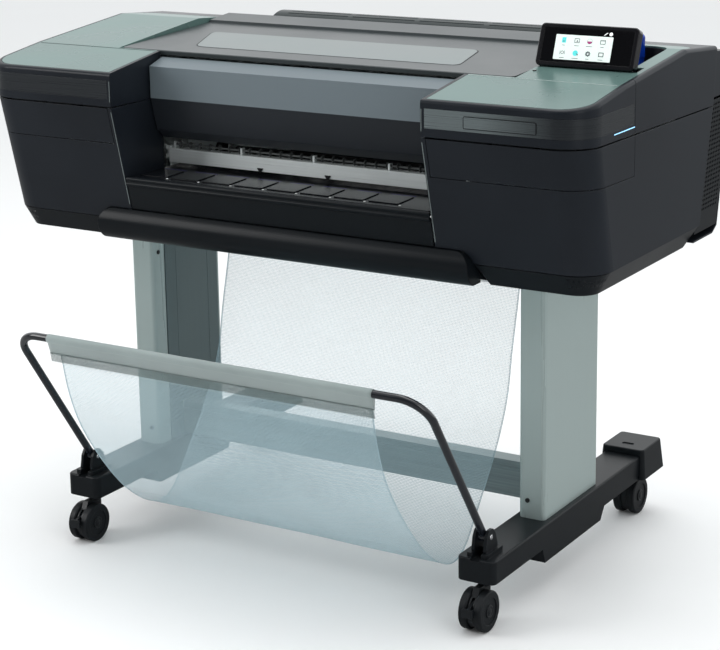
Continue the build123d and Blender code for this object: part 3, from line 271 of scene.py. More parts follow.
def drawnMetal(name, colour, roughness=0.35, stretch=(6.0, 900.0, 900.0), depth=0.00003, edge=0.0008,
               wear=0.4, tone=0.16, metallic=1.0, dust=0.04, paintedReflection=None):
    material, tree, shader = startMaterial(name)
    soft = use(tree, "softEdge", Radius=edge)
    lines = use(tree, "brushLines", Stretch=stretch)
    base = toned(tree, lines, colour, tone)
    if paintedReflection:  # painted reflection: bright from the middle outwards on the right hand, running out to a darker tone
        start, stop, dark = paintedReflection
        x = place(tree, "ShaderNodeSeparateXYZ", {0: objectPlace(tree)}).outputs["X"]
        reflectionShare = maths(tree, "MULTIPLY", spread(tree, x, -0.2, 0.2), spread(tree, x, stop, start), True)
        base = blendColour(tree, reflectionShare, rgba(dark), base)
    weathered(tree, shader, base, soft, lines,
              {"wear": wear, "rubbed": scaled(colour, 1.5), "dust": dust, "film": (0.42, 0.43, 0.42),
               "gloss": (roughness - 0.06, roughness + 0.08), "matt": 0.4, "depth": depth, "strength": 0.5})
    shader.inputs["Metallic"].default_value = metallic
    return material


def netCloth(name, colour, openness, clear=0.0):
    material, tree, shader = startMaterial(name)
    weave = use(tree, "netWeave", Pitch=0.003, Open=openness)
    base = blendColour(tree, weave["Tone"], rgba(scaled(colour, 0.92)), rgba(scaled(colour, 1.06)))
    tree.links.new(base, shader.inputs["Base Color"])
    bump = place(tree, "ShaderNodeBump", {"Height": weave["Height"], "Distance": 0.0001, "Strength": 0.2})
    tree.links.new(bump.outputs[0], shader.inputs["Normal"])
    shader.inputs["Roughness"].default_value = 0.75
    shader.inputs["Sheen Weight"].default_value = 0.2
    if clear:  # seen edge-on, the threads close up
        facing = place(tree, "ShaderNodeLayerWeight", {"Blend": 0.35}).outputs["Facing"]
        cover = maths(tree, "ADD", maths(tree, "MULTIPLY", weave["Cover"], 1 - clear),
                      spread(tree, facing, 0.1, 0.9, 0.10, 0.5), True)
        tree.links.new(cover, shader.inputs["Alpha"])
    return material


def lamp(name, colour, strength):
    material, tree, shader = startMaterial(name)
    patch = spread(tree, cloudAt(tree, objectPlace(tree), 60.0, 2.0), 0.3, 0.7)
    glow = blendColour(tree, patch, rgba(scaled(colour, 0.96)), rgba(scaled(colour, 1.02)))
    tree.links.new(glow, shader.inputs["Base Color"])
    tree.links.new(glow, shader.inputs["Emission Color"])
    shader.inputs["Emission Strength"].default_value = strength
    shader.inputs["Roughness"].default_value = 0.25
    return material


finishes = {material.name: material for material in (
    mouldedPlastic("charcoalShell", (0.011, 0.014, 0.019), 0.33, wear=0.2, dust=0.02, shine=0.2),
    # painted shade: the same charcoal plastic, darker on the low parts (bumper, skirts, front panel, vent
    # grilles)
    mouldedPlastic("lowerShell", (0.006, 0.008, 0.010), 0.3, wear=0.2, dust=0.02, shine=0.16),
    mouldedPlastic("coverSatin", (0.036, 0.045, 0.048), 0.3, depth=0.00004, wear=0.2, dust=0.02,
                   shine=0.28),
    mouldedPlastic("rollSatin", (0.018, 0.026, 0.027), 0.3, wear=0.2, dust=0.02, shine=0.16),
    mouldedPlastic("inlaySatin", (0.15, 0.18, 0.18), 0.3, depth=0.00002, wear=0.1, dust=0.02),
    # the front cover's lighter upper part is a painted reflection
    mouldedPlastic("windowSatin", (0.018, 0.022, 0.028), 0.36, wear=0.2, dust=0.02,
                   split={"height": 0.909, "colour": (0.15, 0.185, 0.205)}),
    mouldedPlastic("panelGreen", (0.10, 0.175, 0.162), 0.28, depth=0.00001, edge=0.0004, wear=0.1,
                   dust=0.0, shine=0.34),
    # the band's bright stretch on the right and its dark ends are a painted reflection
    drawnMetal("brushedBand", (0.15, 0.18, 0.185), 0.3, stretch=(5.0, 5.0, 900.0), metallic=0.4, tone=0.1,
               wear=0.1, dust=0.0, paintedReflection=(0.46, 0.60, (0.022, 0.026, 0.030))),
    mouldedPlastic("glossBlack", (0.004, 0.004, 0.006), 0.2, depth=0.0, wear=0.05, dust=0.0, coat=0.25,
                   shine=0.25),
    mouldedPlastic("innerBlack", (0.009, 0.010, 0.012), 0.45, wear=0.15, dust=0.03, shine=0.2),
    mouldedPlastic("platenBlack", (0.005, 0.006, 0.008), 0.22, wear=0.1, dust=0.0, shine=0.14),
    drawnMetal("zincSheet", (0.84, 0.90, 0.90), 0.32, stretch=(5.0, 240.0, 240.0), metallic=0.15,
               tone=0.05),
    drawnMetal("legSilver", (0.37, 0.445, 0.435), 0.32, stretch=(60.0, 60.0, 2.0), metallic=0.25,
               tone=0.015, depth=0.000004, wear=0.15),
    drawnMetal("legInner", (0.11, 0.15, 0.155), 0.42, stretch=(300.0, 300.0, 4.0), metallic=0.35,
               tone=0.06),
    drawnMetal("braceGrey", (0.27, 0.33, 0.335), 0.4, stretch=(4.0, 320.0, 320.0), metallic=0.45),
    mouldedPlastic("footBlack", (0.007, 0.009, 0.011), 0.34, wear=0.25, dust=0.02, shine=0.18),
    mouldedPlastic("casterBlack", (0.009, 0.011, 0.013), 0.28, wear=0.3, dust=0.04),
    mouldedPlastic("treadGrey", (0.010, 0.012, 0.014), 0.4, wear=0.3, dust=0.03, shine=0.2),
    mouldedPlastic("tubeGloss", (0.008, 0.010, 0.014), 0.18, depth=0.0, wear=0.3, dust=0.03, coat=0.8),
    netCloth("netPale", (0.40, 0.555, 0.61), 0.72, 0.5),
    netCloth("netSleeve", (0.29, 0.345, 0.34), 0.3),
    netCloth("netHem", (0.17, 0.225, 0.22), 0.6, 0.45),
    mouldedPlastic("thread", (0.62, 0.68, 0.66), 0.7, grain=4000.0),
    mouldedPlastic("glassBlack", (0.002, 0.002, 0.003), 0.05, depth=0.0, wear=0.0, dust=0.005),
    mouldedPlastic("penBlue", (0.004, 0.045, 0.42), 0.14, depth=0.0, wear=0.1, dust=0.0, coat=0.8),
    drawnMetal("groundSteel", (0.58, 0.59, 0.61), 0.24, stretch=(900.0, 60.0, 60.0)),
    mouldedPlastic("rollerRubber", (0.028, 0.028, 0.031), 0.72, grain=2600.0, depth=0.0001),
    mouldedPlastic("starWhite", (0.10, 0.11, 0.11), 0.35),
    mouldedPlastic("inkGrey", (0.10, 0.11, 0.12), 0.4),
    drawnMetal("pinChrome", (0.80, 0.81, 0.83), 0.12, stretch=(300.0, 300.0, 300.0)),
    drawnMetal("screwBlack", (0.03, 0.03, 0.032), 0.35, metallic=0.6),
    # dark joint round the top cover inlay, also the painted shade line on the left top-panel crease
    mouldedPlastic("gapDark", (0.004, 0.004, 0.005), 0.6, wear=0.0, dust=0.0),
    # painted highlight strip for the towers' inner front edges
    mouldedPlastic("trimGrey", (0.16, 0.19, 0.19), 0.25, depth=0.0, wear=0.1, dust=0.0),
    # painted highlight strip for the right top-panel crease
    mouldedPlastic("trimBright", (0.62, 0.70, 0.68), 0.25, depth=0.0, wear=0.1, dust=0.0),
)}
worn = {
    "charcoalShell": "side_covers front_bands left_ink_door right_ink_door rear_panel rear_caps upper_covers",
    "lowerShell": "skirts bumper front_panel vent_grilles",
    "coverSatin": "top_cover",
    "rollSatin": "roll_cover",
    "windowSatin": "front_cover",
    "panelGreen": "left_top_panel right_top_panel",
    "brushedBand": "band_strips",
    "glossBlack": "display_housing power_button",
    "innerBlack": "pen_tray carriage service_station ink_bays motors cutter",
    "platenBlack": "platen",
    "zincSheet": "chassis frame_brackets front_beam scan_rail power_unit",
    "legSilver": "legs",
    "legInner": "leg_panels",
    "braceGrey": "cross_brace",
    "footBlack": "feet foot_caps",
    "casterBlack": "front_left_caster front_right_caster rear_left_caster rear_right_caster "
                   "front_left_brake_lever front_right_brake_lever",
    "treadGrey": "front_left_wheels front_right_wheels rear_left_wheels rear_right_wheels",
    "tubeGloss": "bin_frame",
    "glassBlack": "display_glass",
    "penBlue": "pen",
    "rollerRubber": "feed_roller drive_belts",
    "starWhite": "star_wheels",
    "groundSteel": "roll_spindle drive_pulley idler_pulley feed_motor_pulley",
    "inkGrey": "ink_cartridges printheads",
    "screwBlack": "screws",
    "netPale": "bin_sling",
}
for finish, names in worn.items():
    for name in names.split():
        mesh = nodes[name].data
        mesh.materials.clear()
        mesh.materials.append(finishes[finish])
print("finishes on", sum(len(names.split()) for names in worn.values()), "frame nodes")


# mesh building
def addMesh(name, points, faces, finish, body, smooth=False, bevel=0.0, segments=2):
    mesh = bpy.data.meshes.new(name)
    mesh.from_pydata([tuple(p) for p in points], [], faces)
    mesh.validate()
    shape = bmesh.new()
    shape.from_mesh(mesh)
    bmesh.ops.recalc_face_normals(shape, faces=shape.faces)
    shape.to_mesh(mesh)
    shape.free()
    mesh.materials.append(finishes[finish])
    piece = bpy.data.objects.new(name, mesh)
    scene.collection.objects.link(piece)
    if smooth:
        for polygon in mesh.polygons:
            polygon.use_smooth = True
    if bevel:
        rounding = piece.modifiers.new("rounding", "BEVEL")
        rounding.width, rounding.segments, rounding.limit_method = bevel, segments, "ANGLE"
        rounding.angle_limit = math.radians(40)
    if body:
        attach(piece, body)
    return piece


def tube(rows):  # points and faces of a closed bar through rows of corners
    count = len(rows[0])
    points = [corner for row in rows for corner in row]
    last = len(points) - count
    faces = [(start + i, start + (i + 1) % count, start + count + (i + 1) % count, start + count + i)
             for start in range(0, last, count) for i in range(count)]
    return points, faces + [tuple(range(count))[::-1], tuple(range(last, len(points)))]


def prismOf(outline, push):  # an outline pushed along a vector
    return tube([outline, [p + push for p in outline]])


def joinParts(parts):  # several (points, faces) as one
    points, faces = [], []
    for p, f in parts:
        faces += [tuple(i + len(points) for i in face) for face in f]
        points += list(p)
    return points, faces


def roundedOutline(x0, x1, y0, y1, radius, steps=5):
    corners = ((x1 - radius, y1 - radius, 0), (x0 + radius, y1 - radius, 90),
               (x0 + radius, y0 + radius, 180), (x1 - radius, y0 + radius, 270))
    flat = []
    for cx, cy, turn in corners:
        for step in range(steps + 1):
            angle = math.radians(turn + 90 * step / steps)
            flat.append((cx + radius * math.cos(angle), cy + radius * math.sin(angle)))
    return flat


def roundedPolygon(corners, radius, steps=6):  # a polygon of (x, y) corners with every corner rounded
    flat = []
    count = len(corners)
    for i in range(count):
        here = Vector(corners[i])
        back = (Vector(corners[i - 1]) - here).normalized()
        ahead = (Vector(corners[(i + 1) % count]) - here).normalized()
        for step in range(steps + 1):
            t = step / steps
            flat.append(tuple(here + back * radius * (1 - t) ** 2 + ahead * radius * t ** 2))
    return flat


def discOutline(cx, cy, radius, steps=24):
    return [(cx + radius * math.cos(math.tau * i / steps), cy + radius * math.sin(math.tau * i / steps))
            for i in range(steps)]


def ringOf(outer, inner, push):  # a frame between two outlines with the same number of points
    count = len(outer)
    points = list(outer) + list(inner) + [p + push for p in outer] + [p + push for p in inner]
    faces = []
    for i in range(count):
        j = (i + 1) % count
        faces.append((i, j, j + count, i + count))
        faces.append((i + 2 * count, i + 3 * count, j + 3 * count, j + 2 * count))
        faces.append((i, i + 2 * count, j + 2 * count, j))
        faces.append((i + count, j + count, j + 3 * count, i + 3 * count))
    return points, faces


def lathe(centre, axis, profile, steps=36):  # (distance along the axis, radius) pairs turned round it
    along = Vector(axis).normalized()
    across = along.orthogonal().normalized()
    other = along.cross(across)
    angles = [math.tau * i / steps for i in range(steps)]
    spokes = [across * math.cos(angle) + other * math.sin(angle) for angle in angles]
    return tube([[centre + along * way * mm + spoke * radius * mm for spoke in spokes]
                 for way, radius in profile])


# top cover: the lighter inlay with its dark joint
coverInlay = {"corners": [(-300, -122), (296, -122), (262, 26), (-362, 26)], "rounding": 22, "proud": 0.6,
              "sunk": 0.3, "jointWidth": 2.4, "jointProud": 0.2}


def makeCoverInlay():
    outline = roundedPolygon(coverInlay["corners"], coverInlay["rounding"])
    centre = Vector((sum(p[0] for p in outline), sum(p[1] for p in outline))) / len(outline)
    wide = [tuple(Vector(p) + (Vector(p) - centre).normalized() * coverInlay["jointWidth"]) for p in outline]
    lift = Vector((0, 0, coverInlay["proud"] * mm))
    sunk = Vector((0, 0, -coverInlay["sunk"] * mm))
    jointLift = Vector((0, 0, coverInlay["jointProud"] * mm))
    top = [onTop("top_cover", *p)[0] + sunk for p in outline]
    addMesh("coverInlay", *prismOf(top, lift - sunk), "inlaySatin", "printer", bevel=0.3 * mm)
    joint = [onTop("top_cover", *p)[0] + sunk for p in wide]
    addMesh("coverInlayJoint", *prismOf(joint, jointLift - sunk), "gapDark", "printer")


makeCoverInlay()

# right band: blank name plate and the thin status light
namePlate = {"x": (427.5, 568), "z": (929, 951), "rounding": 3, "thick": 0.9, "rim": 1.1,
             "rimShare": 1.25, "sunk": 0.2}
statusLight = {"y": (-230, -142), "z": 918, "height": 1.6, "proud": 0.4, "sunk": 0.3, "taper": 2,
               "tipShare": 0.2, "colour": (0.30, 0.62, 0.95), "strength": 1.2}


def makeNamePlate():
    (x0, x1), (z0, z1), rim = namePlate["x"], namePlate["z"], namePlate["rim"]
    flat = roundedOutline(x0, x1, z0, z1, namePlate["rounding"])
    inner = roundedOutline(x0 + rim, x1 - rim, z0 + rim, z1 - rim, namePlate["rounding"] - 1)
    y = min(onFront("band_strips", x, z)[0].y for x, z in flat) - namePlate["sunk"] * mm
    inside = standing(inner, y)
    back = Vector((0, -namePlate["thick"] * mm, 0))
    addMesh("namePlateRim", *ringOf(standing(flat, y), inside, back * namePlate["rimShare"]), "glossBlack",
            "printer", bevel=0.2 * mm)
    addMesh("namePlate", *prismOf(inside, back), "brushedBand", "printer")


def makeStatusLight():
    finishes["statusGlow"] = lamp("statusGlow", statusLight["colour"], statusLight["strength"])
    y0, y1 = statusLight["y"]
    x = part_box("upper_covers")[1].x
    sunk, proud, taper = -statusLight["sunk"], statusLight["proud"], statusLight["taper"]
    rows = []
    for y in (y0, y0 + taper, y1 - taper, y1):
        half = statusLight["height"] * (statusLight["tipShare"] if y in (y0, y1) else 0.5)
        corners = ((sunk, -half), (sunk, half), (proud, half), (proud, -half))
        rows.append([Vector((x + out * mm, (y + midY) * mm, (statusLight["z"] + up) * mm))
                     for out, up in corners])
    addMesh("statusLight", *tube(rows), "statusGlow", "printer")


makeNamePlate()
makeStatusLight()

# towers: painted highlight strips down the inner front edges, a painted highlight and a painted shade line
# along the creases across the top panels
towerEdgeHighlight = {"x": 343.2, "width": 1.5, "proud": 0.5, "sunk": 0.2, "z": (708, 958), "steps": 26,
             "over": ("side_covers", "front_bands", "upper_covers", "bumper")}
creaseLightAndShade = {"y": -187, "half": 0.7, "proud": 0.35, "sunk": 0.2, "from": 352, "inset": 4, "steps": 16}


# painted highlight: a lighter strip down each tower's inner front edge
def makeTowerEdgeHighlight():
    parts = []
    z0, z1 = towerEdgeHighlight["z"]
    corners = [(out, back * mm) for out, back in
               ((0, towerEdgeHighlight["sunk"]), (towerEdgeHighlight["width"], towerEdgeHighlight["sunk"]),
                (towerEdgeHighlight["width"], -towerEdgeHighlight["proud"]), (0, -towerEdgeHighlight["proud"]))]
    for hand in (-1, 1):
        x = hand * towerEdgeHighlight["x"]
        rows = []
        for step in range(towerEdgeHighlight["steps"]):
            z = z0 + (z1 - z0) * step / (towerEdgeHighlight["steps"] - 1)
            casts = [nodes[name].ray_cast(spot(x + hand, -900, z), Vector((0, 1, 0)))
                     for name in towerEdgeHighlight["over"]]
            y = min(point.y for found, point, _, _ in casts if found)
            rows.append([Vector(((x + hand * out) * mm, y + back, z * mm)) for out, back in corners])
        parts.append(tube(rows))
    addMesh("towerEdgeHighlight", *joinParts(parts), "trimGrey", "printer")


# painted highlight along the right crease, painted shade line along the left crease
def makeCreaseLightAndShade():
    start, half = creaseLightAndShade["from"], creaseLightAndShade["half"]
    sunk, proud = -creaseLightAndShade["sunk"], creaseLightAndShade["proud"]
    corners = ((-half, sunk), (half, sunk), (half, proud), (-half, proud))
    for side, hand, finish in (("Left", -1, "gapDark"), ("Right", 1, "trimBright")):
        panel = side.lower() + "_top_panel"
        low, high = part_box(panel)
        far = max(abs(low.x), abs(high.x)) / mm - creaseLightAndShade["inset"]
        rows = []
        for step in range(creaseLightAndShade["steps"]):
            x = hand * (start + (far - start) * step / (creaseLightAndShade["steps"] - 1))
            z = onTop(panel, x, creaseLightAndShade["y"])[0].z
            rows.append([Vector((x * mm, (creaseLightAndShade["y"] + midY + out) * mm, z + up * mm))
                         for out, up in corners])
        addMesh("creaseLightAndShade" + side, *tube(rows), finish, "printer", bevel=0.15 * mm)


makeTowerEdgeHighlight()
makeCreaseLightAndShade()

# display: lit screen with plain pictograms
display = {"left": 441.0, "y": -100.0, "z": 1008.4, "tilt": 21.0, "glass": -0.4,
           "lit": (34, 146, 13, 59), "columns": (0.15, 0.38, 0.60, 0.83), "rows": (49, 26), "labelDrop": 9.5,
           "iconSize": 5.2, "iconTall": 0.8, "iconLine": 1.1, "iconThick": 0.12, "iconLift": 0.25,
           "markLift": 0.38, "statusLift": 0.05, "panelLift": 0.02, "panelThick": 0.2}
displayTilt = math.radians(display["tilt"])
displayOut = Vector((0, -math.cos(displayTilt), math.sin(displayTilt)))


def onDisplay(flat, lift):
    corner = spot(display["left"], display["y"], display["z"])
    up = Vector((0, math.sin(displayTilt), math.cos(displayTilt)))
    away = displayOut * (display["glass"] + lift) * mm
    return [corner + Vector((x, 0, 0)) * mm + up * y * mm + away for x, y in flat]


def iconPart(flat, lift=display["iconLift"], thick=display["iconThick"]):
    return prismOf(onDisplay(flat, lift), displayOut * thick * mm)


def iconBar(x0, x1, y0, y1, rounding, lift=display["iconLift"]):
    return iconPart(roundedOutline(x0, x1, y0, y1, rounding), lift)


def iconFrame(outer, inner):
    lift = display["iconLift"]
    return ringOf(onDisplay(outer, lift), onDisplay(inner, lift), displayOut * display["iconThick"] * mm)


def makeScreen():
    x0, x1, y0, y1 = display["lit"]
    finishes["screenWhite"] = lamp("screenWhite", (0.72, 0.80, 0.77), 0.55)
    finishes["iconTeal"] = lamp("iconTeal", (0.10, 0.66, 0.66), 0.55)
    finishes["iconGrey"] = lamp("iconGrey", (0.16, 0.19, 0.20), 0.12)
    finishes["iconPlum"] = lamp("iconPlum", (0.42, 0.06, 0.22), 0.3)
    panel = iconPart(roundedOutline(x0, x1, y0, y1, 1.2), display["panelLift"], display["panelThick"])
    addMesh("screenPanel", *panel, "screenWhite", "display")
    size, line, upper = display["iconSize"], display["iconLine"], display["markLift"]
    tall = size * display["iconTall"]
    teal, grey, plum = [], [], []
    for row, y in enumerate(display["rows"]):
        for column, share in enumerate(display["columns"]):
            x = x0 + share * (x1 - x0)
            box = roundedOutline(x - size, x + size, y - tall, y + tall, 1.0)
            hollow = roundedOutline(x - size + line, x + size - line, y - tall + line, y + tall - line, 0.5)
            kind = row * len(display["columns"]) + column
            if kind == 0:
                teal.append(iconBar(x - 4, x + 4, y - 5, y + 5, 0.8))
                grey.append(iconBar(x - 2.4, x + 2.4, y - 3.4, y - 2.8, 0.2, upper))
                grey.append(iconBar(x - 2.4, x + 2.4, y - 1.6, y - 1.0, 0.2, upper))
            elif kind == 1:
                grey.append(iconFrame(box, hollow))
                grey.append(iconPart([(x - 1.5, y - 2.0), (x + 2.5, y - 2.0), (x + 0.6, y + 1.4)]))
            elif kind == 2:
                plum.append(iconPart([(x - 4.6, y)] + discOutline(x, y, 4.6)[13:24] + [(x + 4.6, y)]))
                grey.append(iconFrame(discOutline(x, y, 5.2), discOutline(x, y, 4.8)))
            elif kind == 3:
                grey.append(iconFrame(box, hollow))
                grey.append(iconBar(x - size + 1, x + size - 1, y + 1.4, y + 2.0, 0.2))
            elif kind == 4:
                grey.append(iconFrame(discOutline(x, y, 3.2), discOutline(x, y, 2.2)))
                for edge in (x - 4.6, x + 4.6):
                    grey.append(iconBar(edge - 0.4, edge + 0.4, y - 4, y + 4, 0.3))
            elif kind == 5:
                teal.append(iconPart(discOutline(x, y, 5.2)))
                grey.append(iconPart([(x + 1.2, y - 0.4), (x + 5.0, y - 4.6), (x + 6.0, y - 1.4)], upper))
            elif kind == 6:
                gear = [(x + r * math.cos(a), y + r * math.sin(a)) for a, r in
                        ((math.tau * i / 32, 5.4 if i % 4 < 2 else 4.2) for i in range(32))]
                grey.append(iconFrame(gear, discOutline(x, y, 1.7, 32)))
            else:
                inner = roundedOutline(x - size + 1.6, x + size - 1.6, y - 2.6, y + 2.6, 0.4)
                grey.append(iconFrame(box, inner))
            drop = y - display["labelDrop"]
            half = 3.2 + 1.6 * ((kind * 7) % 3)  # label bars of three lengths
            grey.append(iconBar(x - half, x + half, drop - 0.5, drop + 0.5, 0.3))
    addMesh("screenIconsTeal", *joinParts(teal), "iconTeal", "display")
    addMesh("screenIconsGrey", *joinParts(grey), "iconGrey", "display")
    addMesh("screenIconsPlum", *joinParts(plum), "iconPlum", "display")
    finishes["iconWhite"] = lamp("iconWhite", (0.8, 0.82, 0.82), 0.7)
    small = [iconPart(flat, display["statusLift"]) for flat in
             (discOutline(140.5, 64.2, 3.4), [(126.5, 61.4), (128.6, 61.4), (134.6, 66.2), (132.4, 66.6)])]
    addMesh("screenStatusMarks", *joinParts(small), "iconWhite", "display")


makeScreen()
print("top cover, band and display dressed")

# print zone: rubber stops and guide marks on the platen, clips under the beam
platenMarks = {"count": 9, "first": -333.5, "pitch": 74.7, "sunk": 0.2}
platenStop = {"y": -287, "within": 330, "profile": [(-0.2, 2.3), (0.5, 2.3), (0.9, 1.6), (1.0, 0.6)]}
platenGuide = {"y": -208, "within": 300, "half": 27, "wide": 1.1, "rounding": 1.0, "thick": 0.7}
platenPad = {"corners": [(-33, -283), (31, -283), (27, -216), (-20, -216)], "rounding": 3, "thick": 2.0}
beamClips = {"x": (-113.7, 41.8), "z": 775.2, "beamZ": 790, "half": 7.5, "drop": 5.5, "rise": 4.5,
             "rounding": 1.5, "thick": 2.0, "sunk": 0.2}


def makePlatenMarks():
    finishes["markWhite"] = mouldedPlastic("markWhite", (0.75, 0.78, 0.78), 0.4)
    finishes["guideBlue"] = mouldedPlastic("guideBlue", (0.035, 0.035, 0.16), 0.3)
    stops, guides, pads = [], [], []
    for i in range(platenMarks["count"]):
        x = platenMarks["first"] + i * platenMarks["pitch"]
        if abs(x) < platenStop["within"]:
            base = onTop("platen", x, platenStop["y"])[0]
            stops.append(lathe(base, (0, 0, 1), platenStop["profile"], 20))
        middle = x + platenMarks["pitch"] / 2
        if abs(middle) < platenGuide["within"]:
            y, wide = platenGuide["y"], platenGuide["wide"]
            low = onTop("platen", middle, y)[0].z - platenMarks["sunk"] * mm
            flat = roundedOutline(middle - platenGuide["half"], middle + platenGuide["half"], y - wide,
                                  y + wide, platenGuide["rounding"])
            guides.append(prismOf(lying(flat, low), Vector((0, 0, platenGuide["thick"] * mm))))
            corners = [(middle + out, back) for out, back in platenPad["corners"]]
            flat = roundedPolygon(corners, platenPad["rounding"])
            pads.append(prismOf(lying(flat, low), Vector((0, 0, platenPad["thick"] * mm))))
    addMesh("platenStops", *joinParts(stops), "markWhite", "printer", smooth=True)
    addMesh("platenGuides", *joinParts(guides), "guideBlue", "printer")
    addMesh("platenPads", *joinParts(pads), "platenBlack", "printer", bevel=0.7 * mm)


def makeBeamClips():
    parts = []
    z, half = beamClips["z"], beamClips["half"]
    for x in beamClips["x"]:
        y = onFront("front_beam", x, beamClips["beamZ"])[0].y + beamClips["sunk"] * mm
        flat = roundedPolygon([(x - half, z + beamClips["rise"]), (x + half, z + beamClips["rise"]),
                               (x, z - beamClips["drop"])], beamClips["rounding"], 3)
        parts.append(prismOf(standing(flat, y), Vector((0, -beamClips["thick"] * mm, 0))))
    addMesh("beamClips", *joinParts(parts), "innerBlack", "printer", bevel=0.3 * mm)


makePlatenMarks()
makeBeamClips()
print("print zone dressed")

# the cloth bin
sling = {"path": [(-528, 462), (-510, 380), (-478, 302), (-420, 215), (-355, 140), (-290, 90), (-236, 72),
                  (-190, 90), (-130, 160), (-62, 250), (-18, 335), (4, 430), (30, 530), (44, 600), (50, 631)],
         "half": 346, "columns": 64, "perSpan": 9, "wave": 1.2, "hem": 3.5, "hemThick": 0.5, "hemProud": 0.2,
         "band": 24.0, "bandThick": 0.6, "bandProud": 1.6, "bar": (-532, 490), "barRadius": 7.5,
         "sleeve": (-370, 350), "heldTop": 120, "heldEnd": 60}
sleeveLoop = {"clear": 1.1, "opening": 35, "round": 290, "steps": 24, "tail": 3, "tailHalf": 0.9,
              "columns": 90, "ripple": 0.35, "run": 3.0}
stitching = {"upper": 13.0, "edge": 2.0, "proud": 1.5, "inset": 6, "long": 2.6, "pitch": 4.0, "high": 0.35,
             "half": 0.3}


def smoothPath(points, perSpan):
    spots = [Vector(p) for p in points]
    spots = [spots[0] * 2 - spots[1]] + spots + [spots[-1] * 2 - spots[-2]]
    made = []
    for i in range(1, len(spots) - 2):
        a, b, c, d = spots[i - 1:i + 3]
        for step in range(perSpan):
            t = step / perSpan
            made.append(0.5 * (2 * b + (c - a) * t + (2 * a - 5 * b + 4 * c - d) * t ** 2
                               + (3 * b - a - 3 * c + d) * t ** 3))
    made.append(spots[-2])
    return made


def slingLine():  # the cloth's side profile: places, outward normals and lengths run so far
    line = smoothPath(sling["path"], sling["perSpan"])
    lengths, normals = [0.0], []
    for a, b in zip(line, line[1:]):
        lengths.append(lengths[-1] + (b - a).length)
    for i in range(len(line)):
        ahead = line[min(i + 1, len(line) - 1)] - line[max(i - 1, 0)]
        normals.append(Vector((ahead.y, -ahead.x)).normalized())
    return line, normals, lengths


def slingWave(x, length, whole):  # slack in the cloth, none where it is held
    held = min(1.0, length / sling["heldTop"]) * min(1.0, (whole - length) / sling["heldEnd"])
    broad = noise(Vector((x * 0.005, length * 0.0012, 1.7)))
    small = noise(Vector((x * 0.011, length * 0.002, 5.1)))
    return sling["wave"] * held * (broad + 0.3 * small)


def layFlat(mesh, flat):  # the cloth's own flat measure in metres, as its UV map
    layer = mesh.uv_layers.new(name="flatCloth")
    for loop in mesh.loops:
        layer.data[loop.index].uv = flat[loop.vertex_index]


def makeSling():
    line, normals, lengths = slingLine()
    whole = lengths[-1]
    columns, half = sling["columns"], sling["half"]
    points, faces, flat = [], [], []
    for row, (place2d, normal, length) in enumerate(zip(line, normals, lengths)):
        for column in range(columns + 1):
            x = -half + 2 * half * column / columns
            p = place2d + normal * slingWave(x, length, whole)
            points.append(spot(x, p.x, p.y))
            flat.append((x * mm, length * mm))
            if row and column:
                here = row * (columns + 1) + column
                faces.append((here - columns - 2, here - columns - 1, here, here - 1))
    mesh = bpy.data.meshes.new("slingCloth")
    mesh.from_pydata([tuple(p) for p in points], [], faces)
    layFlat(mesh, flat)
    for polygon in mesh.polygons:
        polygon.use_smooth = True
    mesh.materials.append(finishes["netPale"])
    cloth = bpy.data.objects.new("slingCloth", mesh)
    scene.collection.objects.link(cloth)
    return cloth, whole


def ribbon(name, along, wide, thick, finish, body=None):  # a closed strip: rows of (place, outward, sideways)
    rows, flat = [], []
    run = 0.0
    last = None
    for place3d, outward, sideways in along:
        run += (place3d - last).length if last else 0.0
        last = place3d
        corners = ((0, -0.5), (1, -0.5), (1, 0.5), (0, 0.5))
        rows.append([place3d + sideways * wide * s + outward * thick * t for s, t in corners])
        flat += [(wide * s, run) for s, t in corners]
    piece = addMesh(name, *tube(rows), finish, body, bevel=0.2 * mm)
    layFlat(piece.data, flat)
    return piece


def makeSlingHems():
    line, normals, lengths = slingLine()
    whole = lengths[-1]
    made = []
    for name, hand in (("Left", -1), ("Right", 1)):
        x = hand * sling["half"]
        along = []
        for p, n, length in zip(line, normals, lengths):
            q = p + n * (slingWave(x, length, whole) + sling["hemProud"])
            along.append((spot(x, q.x, q.y), Vector((0, n.x, n.y)), Vector((-hand, 0, 0))))
        made.append(ribbon("slingHem" + name, along, sling["hem"] * mm, sling["hemThick"] * mm, "netPale"))
    return made


def makeBand():  # the doubled band of cloth sewn under the bar
    line, normals, lengths = slingLine()
    x0, x1 = sling["sleeve"]
    along = []
    for p, n, length in zip(line, normals, lengths):
        if length <= sling["band"]:
            q = p + n * sling["bandProud"]
            along.append((spot(x0, q.x, q.y), Vector((0, n.x, n.y)), Vector((1, 0, 0))))
    return ribbon("slingBand", along, (x1 - x0) * mm, sling["bandThick"] * mm, "netHem", "bin_frame")


